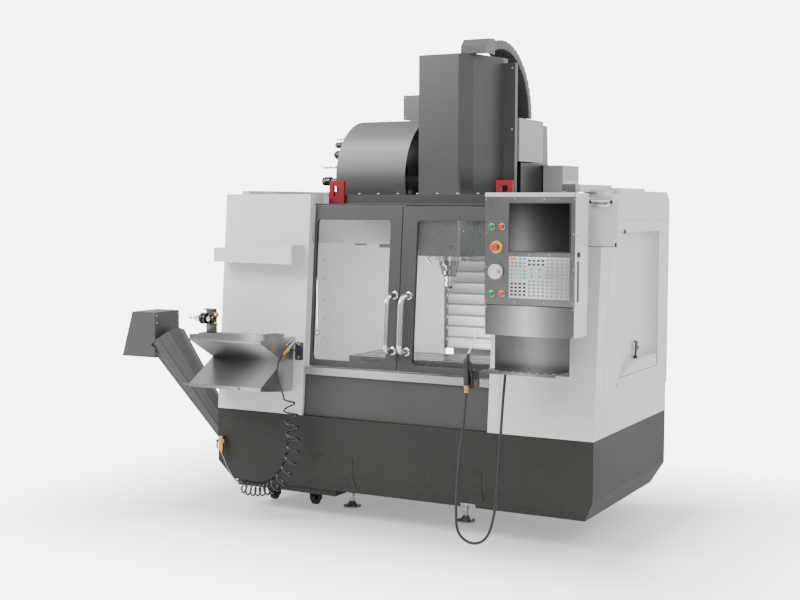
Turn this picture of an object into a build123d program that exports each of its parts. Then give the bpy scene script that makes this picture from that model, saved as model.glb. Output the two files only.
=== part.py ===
from build123d import *
import os
from math import atan2, cos, degrees, pi, radians, sin, tan

# A vertical machining center: a cast bed and column, a sliding saddle, table and spindle head,
# a side-mounted tool carousel, and a sheet-metal enclosure with two sliding doors.
# Everything is drawn from the enclosure's left front corner: x to the right, y to the back,
# z up from the floor. The last lines move it so that the origin is the middle of the footprint.

# Driving sizes of the enclosure, in millimetres
WIDTH = 2270
DEPTH = 1188
ROOF = 1805
BASE_TOP = 582
CHAMFER_TOP = 278
BASE_BOTTOM = 166
CHAMFER = 60
SLANT = 100
SHEET = 3
WRAP = 130
DOOR_LEFT = 570
DOOR_RIGHT = 1697
SILL_BOTTOM = 812
SILL_TOP = 851
INNER_WALL = 60
BACK_WALL = 1100
CABINET_BACK = 1980

# Driving sizes of the machine inside
SPINDLE_X = 1135
SPINDLE_Y = 690
BED_TOP = 600
FEET = ((665, 390), (1395, 390), (665, 1560), (1395, 1560))
TABLE_TOP = 866
TABLE_LENGTH = 914
TABLE_WIDTH = 356
TABLE_HEIGHT = 76
TABLE_OFFSET = -107
COLUMN_HALF = 220
COLUMN_FRONT = 1200
COLUMN_TOP = 2240
RAIL_SPREAD = 130
HEAD_BOTTOM = 1457
HEAD_TOP = 2587
HEAD_FRONT = 540
HEAD_BACK = 1060
NOSE_BOTTOM = 1345

# Driving sizes of the tool carousel, the cable chain and the chip chute
CAROUSEL_Y = 842
CAROUSEL_Z = 1894
COVER_R = 349
COVER_LEFT = 494
COVER_RIGHT = 950
HOUSING_BOTTOM = 1523
DISC_X = 610
CAROUSEL_PITCH_R = 262
POCKETS = 20
CHAIN_Y = 841
CHAIN_Z = 2262
CHAIN_R = 394
CHUTE_Y = 160
CHUTE_SLOPE = 50.2
CHUTE_LENGTH = 800
CHUTE_FOOT_R = 50
CHUTE_TOP_R = 111
HOOD_LEFT = -740
HOOD_RIGHT = -489

# Driving sizes of the pendant and the small fittings in front of the enclosure
PENDANT_LEFT = 1790
PENDANT_RIGHT = 2257
PENDANT_FRONT = -250
PENDANT_BACK = -75
PENDANT_BOTTOM = 1115
PENDANT_SEAM = 1266
PIVOT_X = 2194
PIVOT_Y = -150
BOARD_RIGHT = 2375
SHELF_FRONT = -310
TOOL_STAND_Z = 1115
LEDGE_TOP = 925
AIR_HOSE = 10
CURL_OUTSIDE = 82
WASH_HOSE = 14

# The middle of the footprint, from the outermost pieces on each side
ORIGIN_X = (HOOD_LEFT + BOARD_RIGHT) / 2
ORIGIN_Y = (SHELF_FRONT + CABINET_BACK) / 2


def block(x0, x1, y0, y1, z0, z1):
    """A box between three pairs of planes."""
    middle = Pos((x0 + x1) / 2, (y0 + y1) / 2, (z0 + z1) / 2)
    return middle * Box(x1 - x0, y1 - y0, z1 - z0)


def outline(points, inset=0):
    """A closed outline as a face, moved inwards by a wall's thickness where one is given."""
    face = Polygon(*points, align=None)
    return offset(face, -inset, kind=Kind.INTERSECTION) if inset else face


def prism_x(points, x0, x1, inset=0):
    """A (y, z) outline carried along x."""
    return extrude(Plane.YZ.offset(x0) * outline(points, inset), x1 - x0, dir=(1, 0, 0))


def prism_y(points, y0, y1, inset=0):
    """An (x, z) outline carried along y."""
    return extrude(Plane.XZ.offset(-y0) * outline(points, inset), y1 - y0, dir=(0, 1, 0))


def prism_z(points, z0, z1, inset=0):
    """An (x, y) outline carried along z."""
    return extrude(Plane.XY.offset(z0) * outline(points, inset), z1 - z0, dir=(0, 0, 1))


def sheet_box(x0, x1, y0, y1, z0, z1):
    """A closed sheet-metal box."""
    inner = block(x0 + SHEET, x1 - SHEET, y0 + SHEET, y1 - SHEET, z0 + SHEET, z1 - SHEET)
    return block(x0, x1, y0, y1, z0, z1) - inner


def rod_x(x0, x1, y, z, r):
    return Pos((x0 + x1) / 2, y, z) * Rot(0, 90, 0) * Cylinder(r, x1 - x0)


def rod_y(x, y0, y1, z, r):
    return Pos(x, (y0 + y1) / 2, z) * Rot(90, 0, 0) * Cylinder(r, y1 - y0)


def rod_z(x, y, z0, z1, r):
    return Pos(x, y, (z0 + z1) / 2) * Cylinder(r, z1 - z0)


def lean(z, back=0):
    """The y of the leaning front plane at height z, and back behind it."""
    return back + SLANT * (z - BASE_TOP) / (ROOF - BASE_TOP)


def leaning_slab(x0, x1, z0, z1, front, back):
    """A slab whose two large faces lie in the leaning front plane."""
    side = [
        (lean(z0, front), z0),
        (lean(z0, back), z0),
        (lean(z1, back), z1),
        (lean(z1, front), z1),
    ]
    return prism_x(side, x0, x1)


def group(*solids):
    """Pieces that stay separate solids inside one node."""
    return Compound(children=[s for piece in solids for s in piece.solids()])


def tube_radii(points):
    """The bend radius at each inner point of a hose's route: 0.45 of the shorter run beside it."""
    radii = []
    for before, here, after in zip(points, points[1:], points[2:]):
        first = Vector(*here) - Vector(*before)
        second = Vector(*after) - Vector(*here)
        half_turn = radians(first.get_angle(second)) / 2
        radii.append(0.45 * min(first.length, second.length) / tan(half_turn))
    return radii


def tube(name, points, diameter):
    """A hose as a round tube along straight runs joined by tangent arcs."""
    radii = tube_radii(points)
    path = FilletPolyline(*points, radius=radii)
    start = Plane(origin=points[0], z_dir=Vector(*points[1]) - Vector(*points[0]))
    solid = sweep(start * Circle(diameter / 2), path=path)
    expected = pi * diameter**2 / 4 * path.length
    print(name, "radii", [round(r) for r in radii], "volume ratio", round(solid.volume / expected, 4))
    return solid


# Bed, column and feet


def make_bed():
    """The cast bed, ribbed below with bosses over the feet, and the two Y guide rails on top."""
    left, right, front, back, bottom = 560, 1710, 330, 1760, 312
    wall, rib, deck = 40, 15, 50
    bed = block(left, right, front, back, bottom, BED_TOP)
    bed -= block(left + wall, right - wall, front + wall, back - wall, bottom - 1, BED_TOP - deck)
    for step in (1, 2, 3):
        x = left + step * (right - left) / 4
        y = front + step * (back - front) / 4
        bed += block(x - rib, x + rib, front, back, bottom, BED_TOP - deck)
        bed += block(left, right, y - rib, y + rib, bottom, BED_TOP - deck)
    for x, y in FEET:
        bed += rod_z(x, y, bottom, BED_TOP - deck, 45)
    rails = []
    for side in (-1, 1):
        x = SPINDLE_X + side * 220
        rails.append(block(x - 22, x + 22, front + 20, 1090, BED_TOP, BED_TOP + 30))
    return group(bed, *rails)


def make_column():
    """The hollow cast column: a tapering box on the bed, with Z guide rails and the motor's cover."""
    left, right = SPINDLE_X - COLUMN_HALF, SPINDLE_X + COLUMN_HALF
    side = [(COLUMN_FRONT, BED_TOP), (1750, BED_TOP), (1620, COLUMN_TOP), (COLUMN_FRONT, COLUMN_TOP)]
    column = prism_x(side, left, right) - prism_x(side, left + 36, right - 36, inset=36)
    column += block(1262, right, COLUMN_FRONT, 1290, COLUMN_TOP, 2248)
    pieces = [column, sheet_box(left, 1235, COLUMN_FRONT, 1500, COLUMN_TOP, 2430)]
    for s in (-1, 1):
        x = SPINDLE_X + s * RAIL_SPREAD
        pieces.append(block(x - 20, x + 20, 1166, COLUMN_FRONT, 1000, 2230))
    return group(*pieces)


def make_feet():
    """Four levelling feet: a turned pad with a cone on top, and the screw that stands in it."""
    pieces = []
    for x, y in FEET:
        pad = rod_z(x, y, 0, 9, 52) + Pos(x, y, 22) * Cone(36, 17, 26)
        screw = rod_z(x, y, 35, 312, 12)
        nut = Pos(x, y, 66) * extrude(RegularPolygon(20, 6), 16)
        pieces += [pad, screw + nut]
    return group(*pieces)


# Base and enclosure


def base_body(inset):
    """The base's outer form moved inwards: upright walls above a chamfered lower edge."""
    upper = block(inset, WIDTH - inset, inset, DEPTH - inset, CHAMFER_TOP, BASE_TOP)
    top = Plane.XY.offset(CHAMFER_TOP) * Pos(WIDTH / 2, DEPTH / 2)
    low = Plane.XY.offset(BASE_BOTTOM) * Pos(WIDTH / 2, DEPTH / 2)
    wide = top * Rectangle(WIDTH - 2 * inset, DEPTH - 2 * inset)
    inward = 2 * (inset + CHAMFER)
    narrow = low * Rectangle(WIDTH - inward, DEPTH - inward)
    return upper + loft([narrow, wide], ruled=True)


def chamfer_y(z):
    """How far the chamfered edge stands back from the base's front at height z."""
    return CHAMFER * (CHAMFER_TOP - z) / (CHAMFER_TOP - BASE_BOTTOM)


def make_base_skirt():
    """The dark base tray's walls, with two folded access covers screwed on its front."""
    skirt = base_body(0) - base_body(4)
    skirt -= block(4, WIDTH - 4, 4, DEPTH - 4, BASE_TOP - 20, BASE_TOP + 1)
    skirt -= block(90, WIDTH - 90, 90, DEPTH - 90, BASE_BOTTOM - 10, BASE_BOTTOM + 10)
    skirt -= block(1520, 1607, 40, 120, BASE_BOTTOM - 1, BASE_BOTTOM + 22)
    skirt -= block(550, 1720, 1100, DEPTH + 1, 300, BASE_TOP + 1)
    skirt -= chute_cone(-9)
    covers = []
    low = 208
    for x0, x1 in ((607, 895), (1357, 1666)):
        side = [
            (0, 369), (-2.5, 369), (-2.5, CHAMFER_TOP - 1),
            (chamfer_y(low) - 3, low), (chamfer_y(low), low), (0, CHAMFER_TOP),
        ]
        covers.append(prism_x(side, x0, x1))
    return group(skirt, *covers)


def front_panel(x0, x1, outer_side):
    """A white front panel: leaning skin, a flange folded round the machine's side, and returns."""
    z0, z1 = BASE_TOP, ROOF
    panel = leaning_slab(x0, x1, z0, z1, 0, WRAP)
    panel -= leaning_slab(x0 + SHEET, x1 - SHEET, z0 + SHEET, z1 - SHEET, SHEET, WRAP + 1)
    slot_top = 1745
    inner = (x1 - 12, x1 + 1) if outer_side < 0 else (x0 - 1, x0 + 12)
    return panel - leaning_slab(inner[0], inner[1], z0 + SHEET, slot_top, 36, WRAP + 1)


def make_left_front_panel():
    return front_panel(0, DOOR_LEFT, -1)


def make_right_front_panel():
    """The right front panel has a narrow jamb strip beside the door, set off by a groove."""
    panel = front_panel(DOOR_RIGHT, WIDTH, 1)
    groove = leaning_slab(1757, 1765, BASE_TOP + SHEET, ROOF - SHEET, -1, 2)
    return panel - groove


def side_tray(x_out, x_in):
    """A side panel: one sheet with a flange at the top and one at the back."""
    front_low, front_high = lean(BASE_TOP, WRAP), lean(ROOF, WRAP)
    tray = prism_x(
        [(front_low, BASE_TOP), (DEPTH, BASE_TOP), (DEPTH, ROOF), (front_high, ROOF)],
        min(x_out, x_in), max(x_out, x_in),
    )
    skin = x_out + SHEET if x_in > x_out else x_out - SHEET
    low, high, back = BASE_TOP - 5, ROOF - SHEET, DEPTH - SHEET
    pocket = [(lean(low, WRAP), low), (back, low), (back, high), (lean(high, WRAP), high)]
    return tray - prism_x(pocket, min(skin, x_in), max(skin, x_in))


def channel_y(x0, x1, y0, y1, top):
    """A folded channel with its open side down, laid along y on the roof's edge."""
    return block(x0, x1, y0, y1, ROOF, top) - block(x0 + 8, x1 - 8, y0 - 1, y1 + 1, ROOF - 1, top - 5)


def make_left_side_panel():
    panel = side_tray(0, INNER_WALL - SHEET)
    return group(panel, channel_y(2, 56, 250, 1170, 1826))


def scoop(grow, z0, z1):
    """The right side's scoop as a solid: it deepens towards the back and ends in a rounded wall."""
    front, back, deep = 345 - grow, 1024 + grow, 46 + grow
    floor = Spline((WIDTH + 1, front), (WIDTH - 0.72 * deep, 590), (WIDTH - deep, back - 45))
    rise = ThreePointArc((WIDTH - deep, back - 45), (WIDTH - 0.75 * deep, back - 9), (WIDTH + 1, back))
    plan = make_face([floor, rise, Line((WIDTH + 1, back), (WIDTH + 1, front))])
    return extrude(Plane.XY.offset(z0) * plan, z1 - z0, dir=(0, 0, 1))


def make_right_side_panel():
    """The right side panel: a scooped recess, with a ledge across its foot and a ball knob."""
    panel = side_tray(WIDTH, WIDTH - INNER_WALL + SHEET)
    z0, z1 = 855, 1613
    pan = scoop(SHEET, z0 - SHEET, z1 + SHEET) - block(WIDTH, WIDTH + 5, 300, 1100, 800, 1700)
    panel = panel + pan - scoop(0, z0, z1)
    ledge_side = [(420, 858), (545, 912), (560, LEDGE_TOP), (1000, LEDGE_TOP), (1018, 858)]
    panel += prism_x(ledge_side, WIDTH - 47, WIDTH - 2)
    panel += Pos(WIDTH + 12, 343, 825) * Sphere(11) + rod_x(WIDTH - 2, WIDTH + 4, 343, 825, 7)
    return group(panel, channel_y(2214, 2268, 360, 760, 1836), channel_y(2214, 2268, 762, 1170, 1822))


def make_side_latch():
    """The black lever on the recess's ledge: a hub, a leaning arm and two grips."""
    turn = Pos(2246, 708, LEDGE_TOP + 9) * Rot(-12, 0, 0)
    hub = rod_x(2236, 2256, 708, LEDGE_TOP + 9, 8.5)
    arm = turn * Pos(0, 0, 42) * Box(9, 14, 84)
    top = turn * Pos(0, -2, 80) * Box(11, 50, 10)
    spur = turn * Pos(0, 22, 46) * Rot(40, 0, 0) * Box(9, 44, 9)
    return hub + arm + top + spur


def make_lower_front_panel():
    x0, x1, z0, z1 = DOOR_LEFT + 1, DOOR_RIGHT - 1, BASE_TOP + 1, SILL_BOTTOM - 0.5
    panel = leaning_slab(x0, x1, z0, z1, 18, 60)
    return panel - leaning_slab(x0 + SHEET, x1 - SHEET, z0 + SHEET, z1 - SHEET, 21, 61)


def make_door_sill():
    """The bright sill: an extruded bar with two running grooves for the doors' rollers."""
    bar = leaning_slab(DOOR_LEFT + 1, DOOR_RIGHT - 1, SILL_BOTTOM, SILL_TOP, 0, 110)
    for back in (46, 62):
        bar -= leaning_slab(DOOR_LEFT, DOOR_RIGHT, SILL_TOP - 8, SILL_TOP + 1, back, back + 8)
    return bar


def make_header_beam():
    """The header over the doors: an upright beam on a shelf, with a row of bolt heads on top."""
    x0, x1 = DOOR_LEFT + 5, DOOR_RIGHT - 5
    beam = block(x0, x1, 280, 332, 1753, 1802)
    beam += block(x0, x1, lean(1748, 36), 332, 1746, 1753)
    for step in range(9):
        beam += rod_z(640 + step * 122, 306, 1801, 1807, 6)
    return beam


def make_lifting_brackets():
    """Two red brackets on the header, each an upright plate with a square eye and a folded foot."""
    pieces = []
    for x0 in (590, 1617):
        plate = block(x0, x0 + 95, 262, 279.5, 1755, 1878)
        plate -= block(x0 + 27, x0 + 68, 261, 281, 1795, 1850)
        plate += block(x0, x0 + 66, 279.5, 330, 1807.5, 1820)
        pieces.append(plate)
    return group(*pieces)


def make_inner_walls():
    """The splash sheets round the work area, the sloping chip pans and the wash-down pipe."""
    low, left_top, right_top = 640, 1520, 1790
    left_x, right_x = INNER_WALL, WIDTH - INNER_WALL
    left = block(left_x, left_x + SHEET, 200, BACK_WALL, low, left_top)
    right = block(right_x - SHEET, right_x, 200, BACK_WALL, low, right_top)
    back_left = block(left_x, 912, BACK_WALL, BACK_WALL + SHEET, low, left_top)
    back_right = block(1358, right_x, BACK_WALL, BACK_WALL + SHEET, low, right_top)
    pocket_left = block(left_x + SHEET, 485, 195, 198, low, left_top)
    pocket_right = block(DOOR_RIGHT + 3, right_x - SHEET, 195, 198, low, right_top)
    pipe = rod_z(150, 830, 960, left_top + 2, 9) + Pos(150, 830, 950) * Sphere(20)
    pipe += block(left_x + SHEET, 150, 824, 836, 1300, 1312)
    front_pan = prism_x([(87, 640), (327, 585), (327, 588), (87, 643)], left_x + SHEET, right_x - SHEET)
    left_pan = prism_y([(63, 640), (557, 606), (557, 609), (63, 643)], 328, BACK_WALL - 1)
    right_pan = prism_y([(2207, 640), (1713, 606), (1713, 609), (2207, 643)], 328, BACK_WALL - 1)
    sheets = (left, right, back_left, back_right, pocket_left, pocket_right)
    return group(*sheets, pipe, front_pan, left_pan, right_pan)


def make_coolant_tank():
    """The coolant tank under the base, L-shaped round the front foot, with its caster forks."""
    plan = [(80, 78), (740, 78), (740, 320), (570, 320), (570, 1100), (80, 1100)]
    tank = prism_z(plan, 129, 300) - prism_z(plan, 129 + SHEET, 300 - SHEET, inset=SHEET)
    for x in (160, 446):
        for y in (343, 1010):
            tank += block(x - 34, x + 34, y - 45, y + 45, 121, 129)
            for side in (-1, 1):
                tank += block(x + side * 26 - 3, x + side * 26 + 3, y - 22, y + 22, 28, 121)
            tank += rod_x(x - 29, x + 29, y, 38, 6)
    return tank


def make_wheels(y):
    """The two tank wheels at one y: turned tyres that run on their axles."""
    pieces = []
    for x in (160, 446):
        wheel = fillet(rod_x(x - 16, x + 16, y, 38, 37.5).edges(), 6)
        hub = rod_x(x - 21, x + 21, y, 38, 13)
        pieces.append(wheel + hub - rod_x(x - 30, x + 30, y, 38, 6.05))
    return group(*pieces)


def make_control_cabinet():
    """The electrical cabinet behind the enclosure's right half, with its door and hinges."""
    x0, x1, front, z0, z1 = SPINDLE_X + COLUMN_HALF, 2050, CABINET_BACK - 40, 640, 1790
    cabinet = sheet_box(x0, x1, 1430, front, z0, z1)
    door = block(x0 + 18, x1 - 18, front, front + 24, z0 + 25, z1 - 25)
    door -= block(x0 + 21, x1 - 21, front - 1, front + 21, z0 + 28, z1 - 28)
    for z in (740, 1100, 1500):
        door += rod_z(x1 - 17, front + 20, z, z + 90, 8)
    door += block(x0 + 60, x0 + 84, front + 24, CABINET_BACK, 1000, 1130)
    return group(cabinet, door)


def make_service_boxes():
    """The junction boxes that stand out above the enclosure round the column."""
    left = sheet_box(667, 914, 1000, 1260, 2262, 2409)
    right = sheet_box(1392, 1462, 930, 1290, 2000, 2247) + block(1356, 1392, 1225, 1290, 2000, 2240)
    drive = sheet_box(1402, 1462, 955, 1380, 1792, 1992) + block(1356, 1402, 1225, 1380, 1792, 1990)
    rear = sheet_box(1466, 1590, 1290, 1560, 1791, 1985)
    return group(left, right, drive, rear)


# Doors


def door(x0, x1, window_x0, window_x1):
    """One sliding door: a flat frame with a round-cornered window opening and its two rollers."""
    z0, z1 = 856, 1740
    frame = leaning_slab(x0, x1, z0, z1, 40, 72)
    tilt = degrees(atan2(SLANT, ROOF - BASE_TOP))
    height = (1664 - 893) / cos(radians(tilt))
    middle_z = (1664 + 893) / 2
    cut = RectangleRounded(window_x1 - window_x0, height, 22)
    place = Pos((window_x0 + window_x1) / 2, lean(middle_z, 56), middle_z) * Rot(90 - tilt, 0, 0)
    frame -= place * extrude(cut, 40, both=True)
    for x in (x0 + 80, x1 - 80):
        frame += leaning_slab(x - 20, x + 20, SILL_TOP - 5, z0 + 6, 48, 52)
    return frame


def window(x0, x1):
    """The pane, seated in the back of its opening."""
    return leaning_slab(x0 - 12, x1 + 12, 881, 1676, 72, 78)


def handle(x):
    """A bent-tube pull handle that stands off the door's face on its two bent ends."""
    low, high, out = 963, 1262, 90
    points = [
        (x, lean(low, 40), low), (x, lean(low, 40 - out), low),
        (x, lean(high, 40 - out), high), (x, lean(high, 40), high),
    ]
    path = FilletPolyline(*points, radius=42)
    start = Plane(origin=points[0], z_dir=Vector(*points[1]) - Vector(*points[0]))
    return sweep(start * Circle(15), path=path)


LEFT_DOOR = (578, 1130)
RIGHT_DOOR = (1133, 1690)
LEFT_PANE = (593, 1059)
RIGHT_PANE = (1222, 1680)


def make_left_door():
    return group(door(*LEFT_DOOR, *LEFT_PANE), handle(1104))


def make_right_door():
    return group(door(*RIGHT_DOOR, *RIGHT_PANE), handle(1189))


# Moving axes


def make_saddle():
    """The saddle: a block astride the Y rails, with the X rails on top."""
    half_x, half_y = 300, 200
    z0, z1 = BED_TOP + 0.4, 760
    front, back = SPINDLE_Y - half_y, SPINDLE_Y + half_y
    saddle = block(SPINDLE_X - half_x, SPINDLE_X + half_x, front, back, z0, z1)
    pieces = []
    for side in (-1, 1):
        x = SPINDLE_X + side * 220
        saddle -= block(x - 23, x + 23, front - 1, back + 1, z0 - 1, BED_TOP + 30.6)
        y = SPINDLE_Y + side * 110
        pieces.append(block(SPINDLE_X - half_x, SPINDLE_X + half_x, y - 18, y + 18, z1, z1 + 26))
    return group(saddle, *pieces)


def make_table():
    """The T-slotted table: three inverted-T grooves and a coolant gutter round the top."""
    x0 = SPINDLE_X + TABLE_OFFSET - TABLE_LENGTH / 2
    x1 = x0 + TABLE_LENGTH
    y0 = SPINDLE_Y - TABLE_WIDTH / 2
    z0 = TABLE_TOP - TABLE_HEIGHT
    table = block(x0, x1, y0, y0 + TABLE_WIDTH, z0, TABLE_TOP)
    for step in (-1, 0, 1):
        y = SPINDLE_Y + step * 125
        table -= block(x0 - 1, x1 + 1, y - 8, y + 8, TABLE_TOP - 30, TABLE_TOP + 1)
        table -= block(x0 - 1, x1 + 1, y - 14, y + 14, TABLE_TOP - 30, TABLE_TOP - 18)
    for s in (-1, 1):
        y = SPINDLE_Y + s * 110
        blocks = block(x0 + 60, x1 - 60, y - 40, y + 40, z0 - 26, z0)
        table += blocks - block(x0, x1, y - 18.5, y + 18.5, z0 - 27, z0 - 3.5)
    return table


def make_head_casting():
    """The spindle head: a carriage on the Z rails, an arm to the spindle's bore, and the motor."""
    half, z0, z1 = 172, 1470, 2040
    carriage = block(SPINDLE_X - half, SPINDLE_X + half, 1064, 1190, z0, z1)
    carriage -= block(SPINDLE_X - half + 21, SPINDLE_X + half - 21, 1164, 1191, z0 - 1, z1 + 1)
    for s in (-1, 1):
        x = SPINDLE_X + s * RAIL_SPREAD
        carriage -= block(x - 20.5, x + 20.5, 1150, 1170, z0 - 1, z1 + 1)
    arm = prism_x([(610, 1475), (1066, 1475), (1066, 1980), (940, 1980), (810, 1740), (610, 1740)],
                  SPINDLE_X - 110, SPINDLE_X + 110)
    mount = block(SPINDLE_X - 110, SPINDLE_X + 110, 585, 1000, 1740, 1800)
    ring = rod_z(SPINDLE_X, SPINDLE_Y, 1430, 1476, 78)
    bore = rod_z(SPINDLE_X, SPINDLE_Y, 1420, 1720, 58.05)
    casting = carriage + arm + ring + mount
    for s in (-1, 1):
        x = SPINDLE_X + s * 118
        y = SPINDLE_Y - 20
        casting += rod_z(x, y, 1444, 1478, 11)
        casting += Pos(x, y, 1422) * Rot(0, s * 40, 0) * Cylinder(7, 44)
        casting += block(min(x, SPINDLE_X), max(x, SPINDLE_X), y - 12, y + 12, 1462, 1476)
    motor = rod_z(SPINDLE_X, SPINDLE_Y, 1800, 2160, 105)
    return group(casting - bore, motor)


def make_head_cover():
    """The tall sheet cover round the head, with its flange, the hood over the cable chain's end and
    a notch that clears the chain."""
    outer = [(985, 600), (1012, HEAD_FRONT), (1260, HEAD_FRONT), (1325, 600),
             (1385, 870), (1385, HEAD_BACK), (985, HEAD_BACK)]
    inner = [(988, 601), (1014, HEAD_FRONT + 3), (1259, HEAD_FRONT + 3), (1322, 602),
             (1382, 870), (1382, HEAD_BACK + 1), (988, HEAD_BACK + 1)]
    cover = prism_z(outer, HEAD_BOTTOM, HEAD_TOP) - prism_z(inner, HEAD_BOTTOM + SHEET, HEAD_TOP - SHEET)
    cover -= rod_z(SPINDLE_X, SPINDLE_Y, HEAD_BOTTOM - 1, HEAD_BOTTOM + 4, 150)
    flange = block(1384, 1460, 870, 873, HEAD_BOTTOM, 2556) + block(1457, 1460, 870, 905, HEAD_BOTTOM, 2556)
    hood = [(575, HEAD_TOP - 1), (575, 2628), (612, 2668), (700, 2676), (700, HEAD_TOP - 1)]
    hollow = [(578, HEAD_TOP - 2), (578, 2627), (613, 2665), (701, 2673), (701, HEAD_TOP - 2)]
    cap = prism_x(hood, 1256, 1408) - prism_x(hollow, 1259, 1405)
    port = rod_y(1222, HEAD_FRONT - 1, HEAD_FRONT + 4, 1509, 13)
    cover -= block(1256, 1386, 935, HEAD_BACK + 1, 2440, HEAD_TOP + 1)
    notch = block(1253, 1256, 932, HEAD_BACK, 2437, HEAD_TOP) + block(1253, 1382, 932, 935, 2437, HEAD_TOP)
    notch += block(1253, 1385, 932, HEAD_BACK, 2437, 2440)
    return cover + notch + flange + cap - port


def make_spindle():
    """The turning spindle nose with its drive keys, and the tool holder and end mill it grips."""
    x, y = SPINDLE_X, SPINDLE_Y
    nose = rod_z(x, y, 1400, 1700, 58) + Pos(x, y, 1385) * Cone(45, 58, 30)
    nose += rod_z(x, y, NOSE_BOTTOM, 1371, 45)
    nose -= Pos(x, y, NOSE_BOTTOM + 30) * Cone(22, 14, 60)
    for s in (-1, 1):
        nose += block(x + s * 33 - 8, x + s * 33 + 8, y - 8, y + 8, NOSE_BOTTOM - 7, NOSE_BOTTOM)
    holder = rod_z(x, y, 1326, NOSE_BOTTOM - 8, 31.5) + rod_z(x, y, 1309, 1326, 26)
    holder += rod_z(x, y, 1282, 1309, 31.5) + Pos(x, y, NOSE_BOTTOM + 23) * Cone(21, 13, 62)
    holder += rod_z(x, y, 1266, 1282, 20)
    mill = rod_z(x, y, 1248, 1266, 8)
    return group(nose, holder + mill)


def make_column_way_cover():
    """The telescoping cover below the head: nested slats, each with a lipped lower edge."""
    x0, x1 = SPINDLE_X - COLUMN_HALF, SPINDLE_X + COLUMN_HALF
    slats, z0, z1, front, back = 9, 872, 1469, BACK_WALL, 1120
    pitch = (z1 - z0) / slats
    side = [(back, z0), (back, z1)]
    for step in reversed(range(slats)):
        low = z0 + step * pitch
        side += [(front + 12, low + pitch), (front + 3, low + 9), (front, low + 9), (front, low)]
    return prism_x(side, x0, x1)


# Tool changer


def make_carousel_cover():
    """The rolled cover over the carousel: a band of sheet that ends on the housing's rim."""
    band = rod_x(COVER_LEFT, COVER_RIGHT, CAROUSEL_Y, CAROUSEL_Z, COVER_R)
    band -= rod_x(COVER_LEFT - 1, COVER_RIGHT + 1, CAROUSEL_Y, CAROUSEL_Z, COVER_R - SHEET)
    return band - block(COVER_LEFT - 1, COVER_RIGHT + 1, 400, 1300, 1500, ROOF - 4)


def make_tool_changer_housing():
    """The open tray under the carousel, hung on the column, with the carousel's post and shaft."""
    x0, x1, y0, y1 = 173, 957, 486, 1196
    tray = block(x0, x1, y0, y1, HOUSING_BOTTOM, 1800)
    tray -= block(x0 + SHEET, x1 - SHEET, y0 + 30, y1 - 30, HOUSING_BOTTOM + SHEET, 1801)
    tray -= block(x0 + SHEET, x1 - SHEET, y0 + SHEET, y1 - SHEET, HOUSING_BOTTOM + SHEET, 1797)
    post = block(900, 940, CAROUSEL_Y - 60, CAROUSEL_Y + 60, HOUSING_BOTTOM + 1, CAROUSEL_Z + 60)
    shaft = rod_x(540, 905, CAROUSEL_Y, CAROUSEL_Z, 30)
    bracket = block(916, 956, y1 - 1, COLUMN_FRONT, HOUSING_BOTTOM + 7, 1790)
    return tray + post + shaft + bracket


# The held tools by pocket number, and each kind's cutter radius and reach beyond its holder
TOOL_SHAPES = {"drill": (8, 135), "mill": (19, 105), "dome": (27, 75), "pin": (4, 150), "holder": (27, 120)}
HELD_TOOLS = (
    (0, "mill"), (1, "holder"), (2, "drill"), (3, "dome"), (4, "mill"), (5, "pin"), (6, "drill"),
    (8, "holder"), (10, "drill"), (12, "dome"), (15, "mill"), (17, "holder"), (18, "drill"),
)


def pocket_place(number):
    """The y and z of one pocket's axis."""
    turn = radians(200 - number * 360 / POCKETS)
    return CAROUSEL_Y + CAROUSEL_PITCH_R * cos(turn), CAROUSEL_Z + CAROUSEL_PITCH_R * sin(turn)


def make_carousel():
    """The turning disc with its ring of tool pockets, and the tools that it holds."""
    disc = rod_x(DISC_X, DISC_X + 16, CAROUSEL_Y, CAROUSEL_Z, 300)
    disc += rod_x(DISC_X - 40, DISC_X + 80, CAROUSEL_Y, CAROUSEL_Z, 70)
    disc -= rod_x(DISC_X - 100, DISC_X + 100, CAROUSEL_Y, CAROUSEL_Z, 30.06)
    for number in range(POCKETS):
        y, z = pocket_place(number)
        disc += Pos(DISC_X - 30, y, z) * Rot(200 - number * 360 / POCKETS, 0, 0) * Box(62, 58, 62)
    tools = []
    for number, kind in HELD_TOOLS:
        radius, reach = TOOL_SHAPES[kind]
        y, z = pocket_place(number)
        flange = DISC_X - 61
        tool = rod_x(flange - 27, flange, y, z, 31.5) + rod_x(flange - 72, flange - 27, y, z, 22)
        tools.append(tool + rod_x(flange - 72 - reach, flange - 72, y, z, radius))
    return group(disc, *tools)


def make_cable_chain():
    """The cable chain from the head over to the column: a row of separate box links on an arc."""
    links, width, height, wall = 17, 140, 52, 7
    start = radians(116)
    step = start / links
    pitch = CHAIN_R * step
    pieces = []
    for number in range(links):
        angle = start - (number + 0.5) * step
        y = CHAIN_Y + CHAIN_R * cos(angle)
        z = CHAIN_Z + CHAIN_R * sin(angle)
        link = Box(width, pitch - 3, height) - Box(width - 2 * wall, pitch, height - 2 * wall)
        pieces.append(Pos(1262 + width / 2, y, z) * Rot(degrees(angle) - 90, 0, 0) * link)
    return group(*pieces)


# Chip chute


def chute_plane(distance):
    """The plane across the chute at a distance up from its foot, with its x along the machine's y."""
    slope = radians(CHUTE_SLOPE)
    up = Vector(-cos(slope), 0, sin(slope))
    return Plane(origin=Vector(20, CHUTE_Y, 323) + up * distance, x_dir=(0, 1, 0), z_dir=up)


def chute_cone(wall):
    """The chute's conical form, moved inwards by a wall's thickness."""
    low = chute_plane(0) * Circle(CHUTE_FOOT_R - wall)
    high = chute_plane(CHUTE_LENGTH) * Circle(CHUTE_TOP_R - wall)
    return loft([low, high], ruled=True)


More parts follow.
